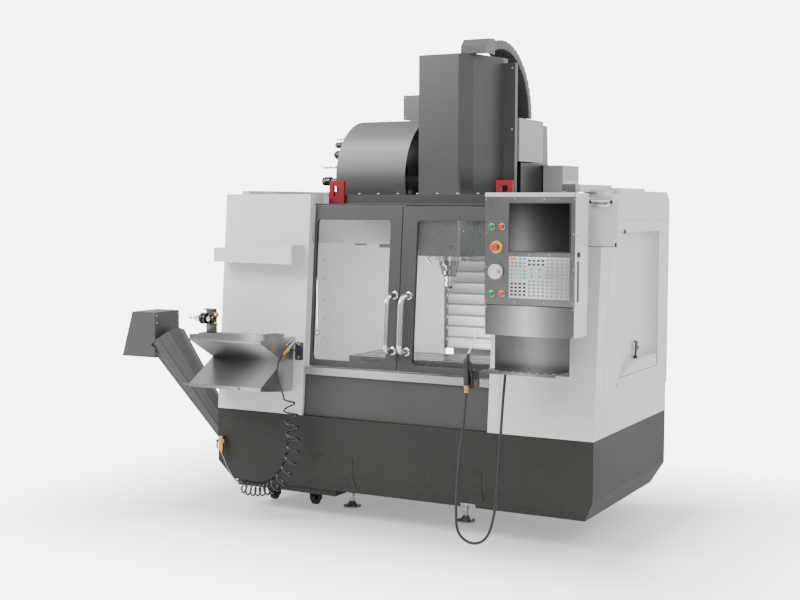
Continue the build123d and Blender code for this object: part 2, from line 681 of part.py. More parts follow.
def make_chute():
    """The rising chip tube with its pressed ridges, and its discharge hood, open below."""
    pipe = chute_cone(0)
    for angle in (150, 190, 230, 270, 310):
        foot = chute_plane(0) * Rot(0, 0, angle) * Pos(CHUTE_FOOT_R - 3, 0) * Circle(7)
        head = chute_plane(CHUTE_LENGTH) * Rot(0, 0, angle) * Pos(CHUTE_TOP_R - 7, 0) * Circle(15)
        pipe += loft([foot, head], ruled=True)
    pipe -= chute_cone(SHEET)
    pipe -= block(-1200, HOOD_RIGHT - 60, 0, 400, 500, 1500)
    y0, y1 = CHUTE_Y - 115, CHUTE_Y + 115
    outside = [(-660, 1106), (HOOD_RIGHT, 1106), (HOOD_RIGHT, 836), (HOOD_LEFT, 836)]
    inside = [(-657, 1103), (HOOD_RIGHT - 3, 1103), (HOOD_RIGHT - 3, 830), (HOOD_LEFT + 5, 830)]
    hood = prism_y(outside, y0, y1) - prism_y(inside, y0 + SHEET, y1 - SHEET)
    return group(pipe, hood - chute_cone(-10))


def make_auger():
    """The chip screw inside the tube: a shaft with a flight wound round it."""
    length, shaft_r, flight_r, pitch = 700, 18, 42, 110
    path = Helix(pitch=pitch, height=length - 40, radius=(shaft_r + flight_r) / 2 - 1)
    profile = Plane(origin=path @ 0, x_dir=(1, 0, 0), z_dir=path % 0) * Rectangle(flight_r - shaft_r + 2, 7)
    flight = sweep(profile, path=path, is_frenet=True)
    screw = Pos(0, 0, length / 2) * Cylinder(shaft_r, length)
    return chute_plane(20) * (screw + Pos(0, 0, 20) * flight)


# Fittings on the left front panel


def make_tool_tray():
    """The moulded tool tray on the left front panel, with six slanting slots in its top."""
    face = [(12, 1424), (535, 1419), (535, 1524), (288, 1503), (12, 1502)]
    tray = prism_y(face, -46, 90) - prism_y(face, -43, 91, inset=SHEET)
    tray -= leaning_slab(0, 600, 1300, 1600, 0, 200)
    for step in range(6):
        x = 62 + step * 82
        tray -= prism_z([(x, -20), (x + 34, -20), (x + 58, 52), (x + 24, 52)], 1480, 1540)
    return tray


def make_work_shelf():
    """The stainless work shelf and bin: a folded body with a V-shaped trough along its front."""
    x0, x1 = 29, 501
    side = [
        (60, 1015), (-300, 1015), (-300, 1003), (-88, 890), (-300, 763),
        (-300, 745), (-60, 716), (60, 716),
    ]
    body = prism_x(side, x0, x1) - prism_x(side, x0 + SHEET, x1 - SHEET, inset=SHEET)
    lip = prism_x([(SHELF_FRONT, 745), (-300, 745), (-300, 763), (SHELF_FRONT, 763)], x0, 360)
    plate = block(-32, x0, -285, -60, 748, 756)
    bow = ThreePointArc((x0, -300), (270, SHELF_FRONT), (x1, -300))
    top_lip = extrude(Plane.XY.offset(1003) * make_face([bow, Line((x1, -300), (x0, -300))]), 12)
    return body + lip + plate + top_lip - leaning_slab(-50, 600, 600, 1100, 0, 200)


def make_tool_stand():
    """The tool clamping stand on the shelf, and the tapered tool holder it grips."""
    y, z = -205, TOOL_STAND_Z
    stand = block(50, 160, -250, -166, 1015, 1023) + block(50, 128, -174, -166, 1023, 1169)
    stand += block(44, 128, -190, -166, 1161, 1169)
    for x in (66, 102):
        stand += rod_x(x, x + 14, y, z, 30) + block(x, x + 14, y, -170, z - 18, z + 18)
        stand -= rod_x(x - 1, x + 15, y, z, 20)
    stand += block(96, 150, -214, -196, z - 34, z - 28)
    tool = Pos(22, y, z) * Rot(0, 90, 0) * Cone(13, 22, 46)
    tool += rod_x(45, 60, y, z, 31) + rod_x(60, 135, y, z, 19.6)
    tool += rod_x(-39, 0, y, z, 5) + rod_x(-39, -29, y, z, 9)
    cap = rod_x(135, 152, y, z + 22, 14) + block(135, 141, y - 6, y + 6, z, z + 22)
    return group(stand, tool + cap)


# The blow gun hangs with its head on the hook and its hose end swung forward
GUN_FOOT = (530, -122, 930)
GUN_GRIP = Plane(origin=GUN_FOOT, x_dir=(1, -0.6, 0), z_dir=(40, 67, 75))


def make_air_gun():
    """The blow gun and its hook: a slanting grip, a brass hose fitting, and a folded hook plate."""
    fitting = GUN_GRIP * (Pos(0, 0, 12) * Cylinder(8, 24))
    fitting += GUN_GRIP * Pos(0, 0, 24) * extrude(RegularPolygon(11, 6), 13)
    body = GUN_GRIP * (Pos(0, 0, 66) * Box(18, 20, 58)) + GUN_GRIP * (Pos(0, 4, 103) * Box(22, 34, 20))
    body += GUN_GRIP * (Pos(22, 0, 103) * Rot(0, 90, 0) * Cylinder(5, 26))
    plate = leaning_slab(510, 562, 886, 985, -5, 0)
    arm = block(530, 546, -64, lean(950, -4), 944, 950) + block(530, 546, -70, -64, 944, 962)
    return group(fitting, body, plate + arm)


def make_air_gun_trigger():
    """The blow gun's lever, hinged at the gun's head and lying along the grip."""
    pin = GUN_GRIP * (Pos(0, -16.4, 111) * Rot(0, 90, 0) * Cylinder(3, 14))
    return GUN_GRIP * (Pos(0, -21, 78) * Rot(-8, 0, 0) * Box(10, 4, 66)) + pin


def make_air_valve():
    """The brass shut-off valve on the base's left front corner, with its elbow."""
    body = rod_z(46, -34, 350, 428, 13) + Pos(46, -34, 388) * extrude(RegularPolygon(19, 6), 22)
    body += rod_y(46, -36, 0, 414, 10) + rod_z(46, -34, 334, 352, 9) + rod_x(11, 40, -34, 399, 3)
    return body


def make_valve_lever():
    """The small wing lever that turns on the valve's stem."""
    lever = rod_x(13, 26, -34, 399, 7) + block(13, 18, -39, -29, 352, 404)
    return lever - rod_x(10, 30, -34, 399, 3.05)


AIR_LEAD = [
    (529, -123.5, 928), (518, -142, 907.5), (510, -150, 873), (508, -150, 825), (513, -140, 765), (520, -120, 712),
]
AIR_CURL = [
    (560, -118, 700), (572, -117, 620), (580, -116, 540), (585, -115, 455), (578, -114, 380),
    (556, -113, 315), (520, -112, 255), (470, -110, 205), (405, -108, 172), (320, -105, 158), (235, -103, 163),
]
AIR_TAIL = [(233, -103, 163), (196, -98, 190), (146, -84, 232), (92, -58, 284), (49, -35.6, 330.2)]


def make_air_hose_ends():
    """The straight lengths of the air hose: from the gun to the coil, and from the coil to the valve."""
    return group(tube("air hose lead", AIR_LEAD, AIR_HOSE), tube("air hose tail", AIR_TAIL, AIR_HOSE))


def make_air_hose_coil():
    return tube("air hose coil", AIR_CURL, CURL_OUTSIDE)


# Pendant and the fittings beside it


def make_pendant_arm():
    """The arm on the enclosure's roof that carries the pendant on an upright pin."""
    arm = block(2160, 2228, -178, 340, 1812, 1848) + block(2160, 2228, 120, 340, 1805.5, 1812)
    cap = block(2168, 2220, -176, -124, 1848, 1863)
    pin = rod_z(PIVOT_X, PIVOT_Y, 1766, 1813, 22)
    board_arm = block(2227, 2345, 14, 44, 1814, 1822)
    return arm + cap + pin + board_arm


def make_document_board():
    """The curved document board: a bent sheet on an angle hanger, beside the pendant."""
    sag = 14
    outer = ThreePointArc((2224, 6), (2300, 6 - sag), (BOARD_RIGHT, 6))
    inner = ThreePointArc((BOARD_RIGHT, 9), (2300, 9 - sag), (2224, 9))
    plan = make_face([outer, Line((BOARD_RIGHT, 6), (BOARD_RIGHT, 9)), inner, Line((2224, 9), (2224, 6))])
    sheet = extrude(Plane.XY.offset(1545) * plan, 232)
    hanger = block(2300, 2345, 14, 18, 1740, 1814) + block(2300, 2345, -6.5, 18, 1740, 1744)
    return sheet + hanger


def make_document_clip():
    """The sprung clip along the board's top edge."""
    roll = rod_x(2242, 2352, -17, 1766, 5)
    return roll + block(2248, 2346, -15, -12, 1738, 1766)


def make_pendant_case():
    """The pendant's painted case: two boxes open at the front, and the bush its pin turns in."""
    x0, x1, y0, y1 = PENDANT_LEFT, PENDANT_RIGHT, PENDANT_FRONT + 3, PENDANT_BACK
    upper = block(x0, x1, y0, y1, PENDANT_SEAM, ROOF)
    upper -= block(x0 + SHEET, x1 - SHEET, y0 - 1, y1 - SHEET, PENDANT_SEAM + SHEET, ROOF - SHEET)
    lower = block(x0 + 4, x1 - 2, y0, y1, PENDANT_BOTTOM, PENDANT_SEAM)
    lower -= block(x0 + 7, x1 - 5, y0 - 1, y1 - SHEET, PENDANT_BOTTOM + SHEET, PENDANT_SEAM - SHEET)
    bush = rod_z(PIVOT_X, PIVOT_Y, 1762, ROOF - 1, 34)
    slot = block(x1 - 1.5, x1 + 1, -222, -190, 1283, 1484)
    ports = [rod_x(x1 - 1.5, x1 + 1, -208, z, 7) for z in (1520, 1600)]
    case = upper + lower + bush - rod_z(PIVOT_X, PIVOT_Y, 1750, ROOF + 1, 22.06)
    return case - slot - ports[0] - ports[1]


BUTTONS = {
    "power_on_button": (1827, 1642),
    "power_off_button": (1882, 1643),
    "cycle_start_button": (1828, 1316),
    "feed_hold_button": (1883, 1317),
}
ESTOP = (1853, 1544)
JOG = (1854, 1425)
SCREEN = (1922, 2229, 1527, 1754)
KEYS = (1922, 2232, 1300, 1498)


def make_pendant_fascia():
    """The stainless front plates, the ring round the emergency stop, and the membrane keypad."""
    y0, y1 = PENDANT_FRONT, PENDANT_FRONT + 3
    upper = block(PENDANT_LEFT, PENDANT_RIGHT, y0, y1, PENDANT_SEAM, ROOF)
    for x, z in BUTTONS.values():
        upper -= rod_y(x, y0 - 1, y1 + 1, z, 9.5)
    upper -= rod_y(ESTOP[0], y0 - 1, y1 + 1, ESTOP[1], 10.5)
    upper -= rod_y(JOG[0], y0 - 1, y1 + 1, JOG[1], 8.5)
    ring = rod_y(ESTOP[0], y0 - 4, y0, ESTOP[1], 30) - rod_y(ESTOP[0], y0 - 5, y0 + 1, ESTOP[1], 12)
    lower = block(PENDANT_LEFT + 4, PENDANT_RIGHT - 2, y0, y1, PENDANT_BOTTOM, PENDANT_SEAM - 5)
    return group(upper + ring, lower, make_keypad())


def make_display():
    x0, x1, z0, z1 = SCREEN
    return block(x0, x1, PENDANT_FRONT - 3, PENDANT_FRONT, z0, z1)


def make_keypad():
    """The membrane keypad: a thin plate with blocks of raised keys."""
    x0, x1, z0, z1 = KEYS
    pad = block(x0, x1, PENDANT_FRONT - 1.5, PENDANT_FRONT, z0, z1)
    blocks = ((4, 4, 1928, 1308), (9, 5, 2020, 1308), (4, 2, 2020, 1466), (4, 2, 1928, 1458), (4, 4, 2136, 1404))
    for columns, rows, left, low in blocks:
        for column in range(columns):
            for row in range(rows):
                x, z = left + column * 22, low + row * 19
                pad += block(x, x + 14, PENDANT_FRONT - 2.5, PENDANT_FRONT - 1.4, z, z + 10)
    return pad


def make_button(x, z):
    """A push button: a domed cap on a stem that passes through the plate."""
    cap = fillet(rod_y(x, PENDANT_FRONT - 19, PENDANT_FRONT - 8, z, 13).edges().group_by(Axis.Y)[0], 3)
    return cap + rod_y(x, PENDANT_FRONT - 8, PENDANT_FRONT + 14, z, 9)


def make_estop():
    """The emergency stop: a mushroom head on a stem."""
    x, z = ESTOP
    head = fillet(rod_y(x, PENDANT_FRONT - 44, PENDANT_FRONT - 24, z, 20).edges().group_by(Axis.Y)[0], 8)
    return head + rod_y(x, PENDANT_FRONT - 24, PENDANT_FRONT + 16, z, 10)


def make_jog_wheel():
    """The jog hand wheel: a dished disc with a grooved rim, and its shaft."""
    x, z = JOG
    wheel = rod_y(x, PENDANT_FRONT - 26, PENDANT_FRONT - 4, z, 40)
    wheel -= rod_y(x, PENDANT_FRONT - 27, PENDANT_FRONT - 22, z, 33)
    wheel += rod_y(x, PENDANT_FRONT - 26, PENDANT_FRONT - 20, z, 14)
    return wheel + rod_y(x, PENDANT_FRONT - 4, PENDANT_FRONT + 14, z, 8)


def make_pendant_shelf():
    """The folded tool shelf below the pendant: back plate, pierced shelf, and the gun's bracket."""
    x0, x1, y_back, z = 1794, 2190, -130, 938
    back = block(x0, x1, y_back, y_back + SHEET, z - 22, PENDANT_BOTTOM)
    shelf = prism_z([(x0 - 28, -262), (x1 - 20, -262), (x1, y_back), (x0, y_back)], z - SHEET, z)
    front = prism_z([(x0 - 28, -262), (x1 - 20, -262), (x1 - 20, -259), (x0 - 28, -259)], z - 14, z)
    for step in range(9):
        shelf -= rod_z(x0 + 22 + step * 42, -236, z - 4, z + 1, 7)
    bracket = block(1712, 1768, -256, -252, 846, 934) + block(1712, 1800, -256, -232, 930, 935)
    blocks = [block(x, x + 22, -270, -256, 862, 892) for x in (1716, 1744)]
    return group(back + shelf + front + bracket, *blocks)


GUN_X = 1712
GUN_Y = -285


def make_wash_gun():
    """The coolant wash gun: a pistol body, a straight wand and a brass hose fitting."""
    body = block(GUN_X - 14, GUN_X + 14, GUN_Y - 14, GUN_Y + 15, 862, 985)
    body += Pos(GUN_X + 4, GUN_Y, 985) * Rot(0, 14, 0) * Cone(13, 6, 40, align=(Align.CENTER, Align.CENTER, Align.MIN))
    wand = Pos(GUN_X + 10, GUN_Y, 1018) * Rot(0, 24, 0) * Cylinder(5, 118, align=(Align.CENTER, Align.CENTER, Align.MIN))
    fitting = rod_z(GUN_X, GUN_Y, 826, 862, 12)
    return group(body + wand, fitting)


def make_wash_gun_trigger():
    """The wash gun's lever, hinged below the wand."""
    lever = Pos(GUN_X + 20, GUN_Y, 975) * Rot(0, -10, 0) * Pos(0, 0, -42) * Box(5, 14, 84)
    return lever + rod_y(GUN_X + 20, GUN_Y - 10, GUN_Y + 10, 975, 3.5)


WASH_ROUTE = [
    (GUN_X, GUN_Y, 825.4), (1706, -286, 735), (1692, -285, 630), (1677, -283, 520),
    (1666, -281, 410), (1659, -279, 310), (1655, -277, 220), (1657, -275, 150),
    (1670, -273, 111), (1700, -271, 83), (1739, -269, 70), (1779, -266, 77),
    (1812, -262, 101), (1832, -257, 140), (1847, -251, 200), (1857, -243, 290),
    (1862, -234, 390), (1863, -224, 500), (1866, -213, 610), (1869, -204, 720),
    (1872, -195, 825), (1877, -186, 915),
]


def make_wash_hose():
    return tube("wash_hose", WASH_ROUTE, WASH_HOSE)


PIECES = {
    "bed_casting": make_bed,
    "column": make_column,
    "leveling_feet": make_feet,
    "base_skirt": make_base_skirt,
    "left_front_panel": make_left_front_panel,
    "right_front_panel": make_right_front_panel,
    "left_side_panel": make_left_side_panel,
    "right_side_panel": make_right_side_panel,
    "side_latch": make_side_latch,
    "lower_front_panel": make_lower_front_panel,
    "door_sill": make_door_sill,
    "header_beam": make_header_beam,
    "lifting_brackets": make_lifting_brackets,
    "inner_walls": make_inner_walls,
    "coolant_tank": make_coolant_tank,
    "tank_wheels_front": lambda: make_wheels(343),
    "tank_wheels_rear": lambda: make_wheels(1010),
    "control_cabinet": make_control_cabinet,
    "service_boxes": make_service_boxes,
    "left_door": make_left_door,
    "left_window": lambda: window(*LEFT_PANE),
    "right_door": make_right_door,
    "right_window": lambda: window(*RIGHT_PANE),
    "saddle": make_saddle,
    "table": make_table,
    "head_casting": make_head_casting,
    "head_cover": make_head_cover,
    "spindle": make_spindle,
    "column_way_cover": make_column_way_cover,
    "carousel_cover": make_carousel_cover,
    "tool_changer_housing": make_tool_changer_housing,
    "carousel": make_carousel,
    "cable_chain": make_cable_chain,
    "chip_chute": make_chute,
    "chip_auger": make_auger,
    "tool_tray": make_tool_tray,
    "work_shelf": make_work_shelf,
    "tool_stand": make_tool_stand,
    "air_gun": make_air_gun,
    "air_gun_trigger": make_air_gun_trigger,
    "air_valve": make_air_valve,
    "valve_lever": make_valve_lever,
    "air_hose_ends": make_air_hose_ends,
    "air_hose_coil": make_air_hose_coil,
    "pendant_arm": make_pendant_arm,
    "document_board": make_document_board,
    "document_clip": make_document_clip,
    "pendant_case": make_pendant_case,
    "pendant_fascia": make_pendant_fascia,
    "display": make_display,
    "estop_button": make_estop,
    "jog_wheel": make_jog_wheel,
    "pendant_shelf": make_pendant_shelf,
    "wash_gun": make_wash_gun,
    "wash_gun_trigger": make_wash_gun_trigger,
    "wash_hose": make_wash_hose,
}
for button, place in BUTTONS.items():
    PIECES[button] = lambda place=place: make_button(*place)

os.makedirs("parts", exist_ok=True)
to_origin = Pos(-ORIGIN_X, -ORIGIN_Y, 0)
for name, make in PIECES.items():
    export_step(to_origin * make(), f"parts/{name}.step")
print(len(PIECES), "nodes, origin moved by", ORIGIN_X, ORIGIN_Y)
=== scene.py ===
# %% [markdown]
# A CNC machining center is a sheet-metal enclosure round a cast machine: doors with windows in front,
# a tall head with the spindle, a tool carousel beside it, and a control pendant on an arm. The packed
# model already has every piece at its real size. This lesson gives those pieces their finishes and
# adds what sheet metal work shows close up: seals, screws, keys, links, nozzles and hoses.

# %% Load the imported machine
import math

import bmesh
import bpy
import numpy as np
from mathutils import Matrix, Vector


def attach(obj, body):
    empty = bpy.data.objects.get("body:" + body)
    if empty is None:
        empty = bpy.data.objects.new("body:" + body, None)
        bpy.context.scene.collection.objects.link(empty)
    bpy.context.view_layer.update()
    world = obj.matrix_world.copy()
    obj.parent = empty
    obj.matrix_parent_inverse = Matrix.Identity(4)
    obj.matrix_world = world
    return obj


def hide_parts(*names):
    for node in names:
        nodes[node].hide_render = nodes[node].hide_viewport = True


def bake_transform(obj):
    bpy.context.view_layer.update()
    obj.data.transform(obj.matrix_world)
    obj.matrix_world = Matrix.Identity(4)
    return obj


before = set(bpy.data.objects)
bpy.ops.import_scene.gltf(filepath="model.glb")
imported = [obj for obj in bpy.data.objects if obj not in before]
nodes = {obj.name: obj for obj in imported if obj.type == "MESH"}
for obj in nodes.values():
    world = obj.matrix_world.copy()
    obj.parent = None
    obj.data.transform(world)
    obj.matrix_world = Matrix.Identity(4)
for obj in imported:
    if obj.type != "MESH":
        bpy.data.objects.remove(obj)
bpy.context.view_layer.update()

# %% [markdown]
# Places are easiest to give in millimetres from the enclosure's left front corner on the floor, as on
# a shop drawing. One function turns them into metres in the machine's own frame. The front of the
# upper enclosure leans back a little, so another function gives how far it has leaned at a height.

# %% Places
CORNER = np.array([817.5, 835.0, 0.0])
BASE_TOP, ROOF, SLANT = 582.0, 1805.0, 100.0
WIDTH, DEPTH = 2270.0, 1188.0


def metres(points):
    """Millimetres from the enclosure's corner, less the corner's own place, over a thousand."""
    return (np.asarray(points, float) - CORNER) / 1000


def lean(z):
    """The front's setback at a height: the slant's share of the way from the base's top to the roof."""
    return (z - BASE_TOP) * SLANT / (ROOF - BASE_TOP)


# %% [markdown]
# The camera stands to the right of the machine at a little above head height and looks along the
# front. Its turn, tilt and lens come from fitting straight edges of the enclosure, so it is built from
# three directions, right, up and backwards, and not from guessed angles.

# %% Camera
TURN, TILT, ROLL = 28.3536, 4.1782, 0.1469
SENSOR_WIDTH, FOCAL_LENGTH = 36.0, 58.733
CAMERA_PLACE = (4450.99, -6050.25, 1747.845)
turn, tilt, roll = (math.radians(a) for a in (TURN, TILT, ROLL))
forward = np.array([-math.sin(turn) * math.cos(tilt), math.cos(turn) * math.cos(tilt), -math.sin(tilt)])
level = np.array([math.cos(turn), math.sin(turn), 0.0])
upright = np.cross(level, forward)
right = math.cos(roll) * level + math.sin(roll) * upright
up = math.cos(roll) * upright - math.sin(roll) * level
lens = bpy.data.cameras.new("camera")
lens.sensor_width, lens.lens = SENSOR_WIDTH, FOCAL_LENGTH
lens.clip_start, lens.clip_end = 0.1, 100.0
camera = bpy.data.objects.new("camera", lens)
bpy.context.scene.collection.objects.link(camera)
pose = Matrix(np.column_stack([right, up, -forward]).tolist()).to_4x4()
pose.translation = metres(CAMERA_PLACE).tolist()
camera.matrix_world = pose
bpy.context.scene.camera = camera

# %% [markdown]
# A hose is one smooth curve with real thickness. A NURBS spline is right for it because it never kinks:
# the route's points pull the line towards them. The air hose is a straight lead, a curled middle and
# a straight tail, all of one length of tube. The curl is a helix: points at 14 steps a turn stand off
# from the middle line at right angles to it. The turns are wide apart where the hose hangs and close
# together where it lies in a sag.

# %% Hoses


def spaced(points, distances):
    """Points at given distances along a polyline, smoothed by a short running mean of its corners."""
    points = np.asarray(points, float)
    for _ in range(3):
        near = (points[:-1] * 3 + points[1:]) / 4
        far = (points[:-1] + points[1:] * 3) / 4
        points = np.vstack([points[:1], np.stack([near, far], 1).reshape(-1, 3), points[-1:]])
    travelled = np.concatenate([[0], np.cumsum(np.linalg.norm(np.diff(points, axis=0), axis=1))])
    if distances is None:
        return travelled[-1]
    return np.stack([np.interp(distances, travelled, points[:, k]) for k in range(3)], -1)


def hose(name, points, diameter):
    """A NURBS spline through the pull of the points, with a round bevel of half the diameter."""
    curve = bpy.data.curves.new(name, "CURVE")
    curve.dimensions, curve.bevel_depth, curve.bevel_resolution = "3D", diameter / 2000, 5
    curve.resolution_u, curve.use_fill_caps = 6, True
    spline = curve.splines.new("NURBS")
    spline.points.add(len(points) - 1)
    spline.points.foreach_set("co", np.column_stack([metres(points), np.ones(len(points))]).ravel())
    spline.order_u, spline.use_endpoint_u = 3, True
    made = bpy.data.objects.new(name, curve)
    bpy.context.scene.collection.objects.link(made)
    print(name, "points", len(points), "length", round(spline.calc_length(), 4))
    return made


AIR_LEAD = [
    (529, -123.5, 928), (518, -142, 907.5), (510, -150, 873), (508, -150, 825),
    (513, -140, 765), (520, -120, 712),
]
AIR_CURL = [
    (560, -118, 700), (572, -117, 620), (580, -116, 540), (585, -115, 455), (578, -114, 380),
    (556, -113, 315), (520, -112, 255), (470, -110, 205), (405, -108, 172),
    (320, -105, 158), (235, -103, 163),
]
AIR_TAIL = [(233, -103, 163), (196, -98, 190), (146, -84, 232), (92, -58, 284), (49, -35.6, 330.2)]
TURNS_HANGING, TURNS_LYING, STEPS = 8, 8, 14
LYING_LENGTH, CURL_RADIUS, RAMP_TURNS, LEAST_SWELL = 250, 36, 0.8, 0.8
whole = spaced(AIR_CURL, None)
share = np.arange((TURNS_HANGING + TURNS_LYING) * STEPS + 1) / STEPS
hanging = whole - LYING_LENGTH
distance = np.interp(share, [0, TURNS_HANGING, TURNS_HANGING + TURNS_LYING], [0, hanging, whole])
middle = spaced(AIR_CURL, distance)
heading = np.gradient(middle, axis=0)
heading /= np.linalg.norm(heading, axis=1, keepdims=True)
sideways = np.cross(heading, [0.0, 1.0, 0.0])
sideways /= np.linalg.norm(sideways, axis=1, keepdims=True)
outwards = np.cross(sideways, heading)
angle = 2 * np.pi * share[:, None] + np.pi
ends = np.minimum(share, share[-1] - share) / RAMP_TURNS
swell = CURL_RADIUS * np.clip(ends, LEAST_SWELL, 1)[:, None]
curl = middle + swell * (np.cos(angle) * sideways + np.sin(angle) * outwards)
air_route = np.vstack([AIR_TAIL[::-1][:-1], curl[::-1], AIR_LEAD[::-1][1:]])
air_hose = hose("air_hose", air_route, 10)

WASH_ROUTE = [
    (1712, -285, 825.4), (1706, -286, 735), (1692, -285, 630), (1677, -283, 520),
    (1666, -281, 410), (1659, -279, 310), (1655, -277, 220), (1657, -275, 150),
    (1670, -273, 111), (1700, -271, 83), (1739, -269, 70), (1779, -266, 77),
    (1812, -262, 101), (1832, -257, 140), (1847, -251, 200), (1857, -243, 290),
    (1862, -234, 390), (1863, -224, 500), (1866, -213, 610), (1869, -204, 720),
    (1872, -195, 825), (1877, -186, 915),
]
wash_hose = hose("wash_hose_line", WASH_ROUTE[::-1], 14)

# %% [markdown]
# Finishes are node materials. Two small classes keep them readable: a signal is one socket, and
# Python's operators on it add Math nodes, so a mask is written like a sentence. A finish holds the
# material and has one method that makes any node: its settings first, then its inputs.

# %% Signals and finishes


class Signal:
    """One output socket. Arithmetic and comparisons on it add Math nodes."""

    def __init__(self, finish, socket):
        self.finish, self.socket = finish, socket

    def maths(self, operation, first, second, clamp=False):
        return self.finish.node(
            "ShaderNodeMath", {"operation": operation, "use_clamp": clamp}, {0: first, 1: second}
        )

    def __add__(self, other):
        return self.maths("ADD", self, other)

    def __sub__(self, other):
        return self.maths("SUBTRACT", self, other)

    def __rsub__(self, other):
        return self.maths("SUBTRACT", other, self)

    def __mul__(self, other):
        return self.maths("MULTIPLY", self, other)

    def __truediv__(self, other):
        return self.maths("DIVIDE", self, other)

    def __rtruediv__(self, other):
        return self.maths("DIVIDE", other, self)

    def __lt__(self, other):
        return self.maths("LESS_THAN", self, other)

    def __gt__(self, other):
        return self.maths("GREATER_THAN", self, other)

    def __pow__(self, other):
        return self.maths("POWER", self, other)

    __radd__, __rmul__, __and__ = __add__, __mul__, __mul__

    def between(self, low, high):
        return (self > low) & (self < high)

    def positive(self, least):
        """How far the signal's size is above the least, or nought."""
        return self.maths("MAXIMUM", self.maths("ABSOLUTE", self, 0) - least, 0)

    def clamped(self, low, high):
        """The signal's share of the way from low to high, kept from 0 to 1."""
        return self.maths("MULTIPLY", self - low, 1 / (high - low), clamp=True)


class Finish:
    """A material round one Principled shader, with a method for each kind of pattern."""

    def __init__(self, name, **sockets):
        self.material = bpy.data.materials.new(name)
        self.material.use_nodes = True
        self.tree = self.material.node_tree
        self.shader = self.tree.nodes["Principled BSDF"]
        self.here = self.node("ShaderNodeTexCoord", output="Object")
        for socket, value in sockets.items():
            self.give(self.shader, socket.replace("_", " "), value)

    def give(self, node, socket, value):
        target = node.inputs[socket]
        if isinstance(value, Signal):
            self.tree.links.new(value.socket, target)
        else:
            target.default_value = value

    def node(self, kind, settings=None, inputs=None, output=0):
        node = self.tree.nodes.new(kind)
        for setting, value in (settings or {}).items():
            setattr(node, setting, value)
        for socket, value in (inputs or {}).items():
            self.give(node, socket, value)
        return Signal(self, node.outputs[output])

    def set(self, socket, value):
        self.give(self.shader, socket, value)
        return self

    def place(self):
        """The shaded point in millimetres from the enclosure's corner: x, y and z."""
        scaled = self.node(
            "ShaderNodeVectorMath", {"operation": "MULTIPLY_ADD"},
            {0: self.here, 1: (1000, 1000, 1000), 2: tuple(CORNER)},
        )
        return [self.node("ShaderNodeSeparateXYZ", None, {0: scaled}, axis) for axis in "XYZ"]

    def noise(self, scale, detail=2.0, stretch=(1.0, 1.0, 1.0), roughness=0.5):
        where = self.node("ShaderNodeVectorMath", {"operation": "MULTIPLY"}, {0: self.here, 1: stretch})
        return self.node(
            "ShaderNodeTexNoise", None,
            {"Vector": where, "Scale": scale, "Detail": detail, "Roughness": roughness},
        )

    def mix(self, share, first, second):
        return self.node("ShaderNodeMix", {"data_type": "RGBA"}, {0: share, 6: first, 7: second}, 2)

    def rounded(self, radius=0.0012):
        """Edges that catch the light as a folded or deburred edge does."""
        return self.node("ShaderNodeBevel", {"samples": 4}, {"Radius": radius})

    def bump(self, height, strength, distance, normal=None):
        inputs = {"Height": height, "Strength": strength, "Distance": distance}
        if normal is not None:
            inputs["Normal"] = normal
        return self.node("ShaderNodeBump", None, inputs)


def rgb(red, green=None, blue=None, alpha=1.0):
    return (red, red if green is None else green, red if blue is None else blue, alpha)


# %% [markdown]
# The enclosure is powder coated. Powder coat is never quite flat: it has a fine orange peel that
# breaks up reflections, a slow change of tone over a big panel, and a little grime low down where
# coolant and boots reach. All three are noise on Object coordinates, at their real scale.

# %% Paint


def powder_coat(name, colour, roughness=0.4, peel=0.05, grime=0.1, edge=0.0015):
    """Colour with slow cloudy change, fine peel in the bump, and grime that thins with height."""
    paint = Finish(name)
    x, y, z = paint.place()
    cloud = paint.noise(2.3, 4)
    specks = paint.noise(60, 5, roughness=0.65)
    low = 1 - z.clamped(60, 520)
    dirt = (low * 0.8 + 0.2) * specks.clamped(0.5, 0.75) * grime
    dark = tuple(c * 0.94 for c in colour[:3]) + (1,)
    worn = paint.mix(dirt, paint.mix(cloud.clamped(0.3, 0.7), dark, colour), rgb(0.12, 0.105, 0.085))
    paint.set("Base Color", worn)
    paint.set("Roughness", roughness + (cloud - 0.5) * 0.12 + dirt * 0.5)
    paint.set("Normal", paint.bump(paint.noise(520, 2), peel, 0.0006, paint.rounded(edge)))
    return paint


white_paint = powder_coat("white_powder_coat", rgb(0.62, 0.62, 0.615), 0.42, grime=0.14)
dark_paint = powder_coat("dark_grey_powder_coat", rgb(0.026, 0.026, 0.024), 0.5, grime=0.25)
chute_paint = powder_coat("chute_grey_powder_coat", rgb(0.05, 0.05, 0.048), 0.46, grime=0.2)
door_paint = powder_coat("door_grey_powder_coat", rgb(0.052, 0.052, 0.05), 0.38, grime=0.08)
hood_paint = powder_coat("hood_grey_powder_coat", rgb(0.07, 0.07, 0.068), 0.3, grime=0.05)
cover_paint = powder_coat("carousel_cover_satin_painted_highlight", rgb(0.11, 0.11, 0.108), 0.42, 0.03, grime=0.04)
housing_paint = powder_coat("housing_grey_powder_coat", rgb(0.3, 0.3, 0.3), 0.4, grime=0.06)
light_grey_paint = powder_coat("light_grey_powder_coat", rgb(0.5, 0.5, 0.5), 0.4, grime=0.06)
red_paint = powder_coat("red_gloss_paint", rgb(0.26, 0.006, 0.012), 0.4, grime=0.02)
cast_paint = powder_coat("casting_enamel", rgb(0.2, 0.21, 0.21), 0.45, peel=0.35, grime=0.2, edge=0.004)
for paint, shine in ((dark_paint, 0.2), (door_paint, 0.35), (cover_paint, 0.35), (red_paint, 0.25)):
    paint.set("Specular IOR Level", shine)
# Painted highlight: the carousel cover's colour rises to a pale band about 2075 mm high, standing in for a
# reflection.
x, y, z = cover_paint.place()
away = (z - 2075) * (1 / 60)
cover_paint.set("Base Color", cover_paint.mix(1 / (away * away + 1), rgb(0.035), rgb(0.28)))
# Painted shade: the head cover's right side is painted darker towards its bottom.
x, y, z = hood_paint.place()
painted_shade = x.clamped(1262, 1275) * z.clamped(1960, 1850)
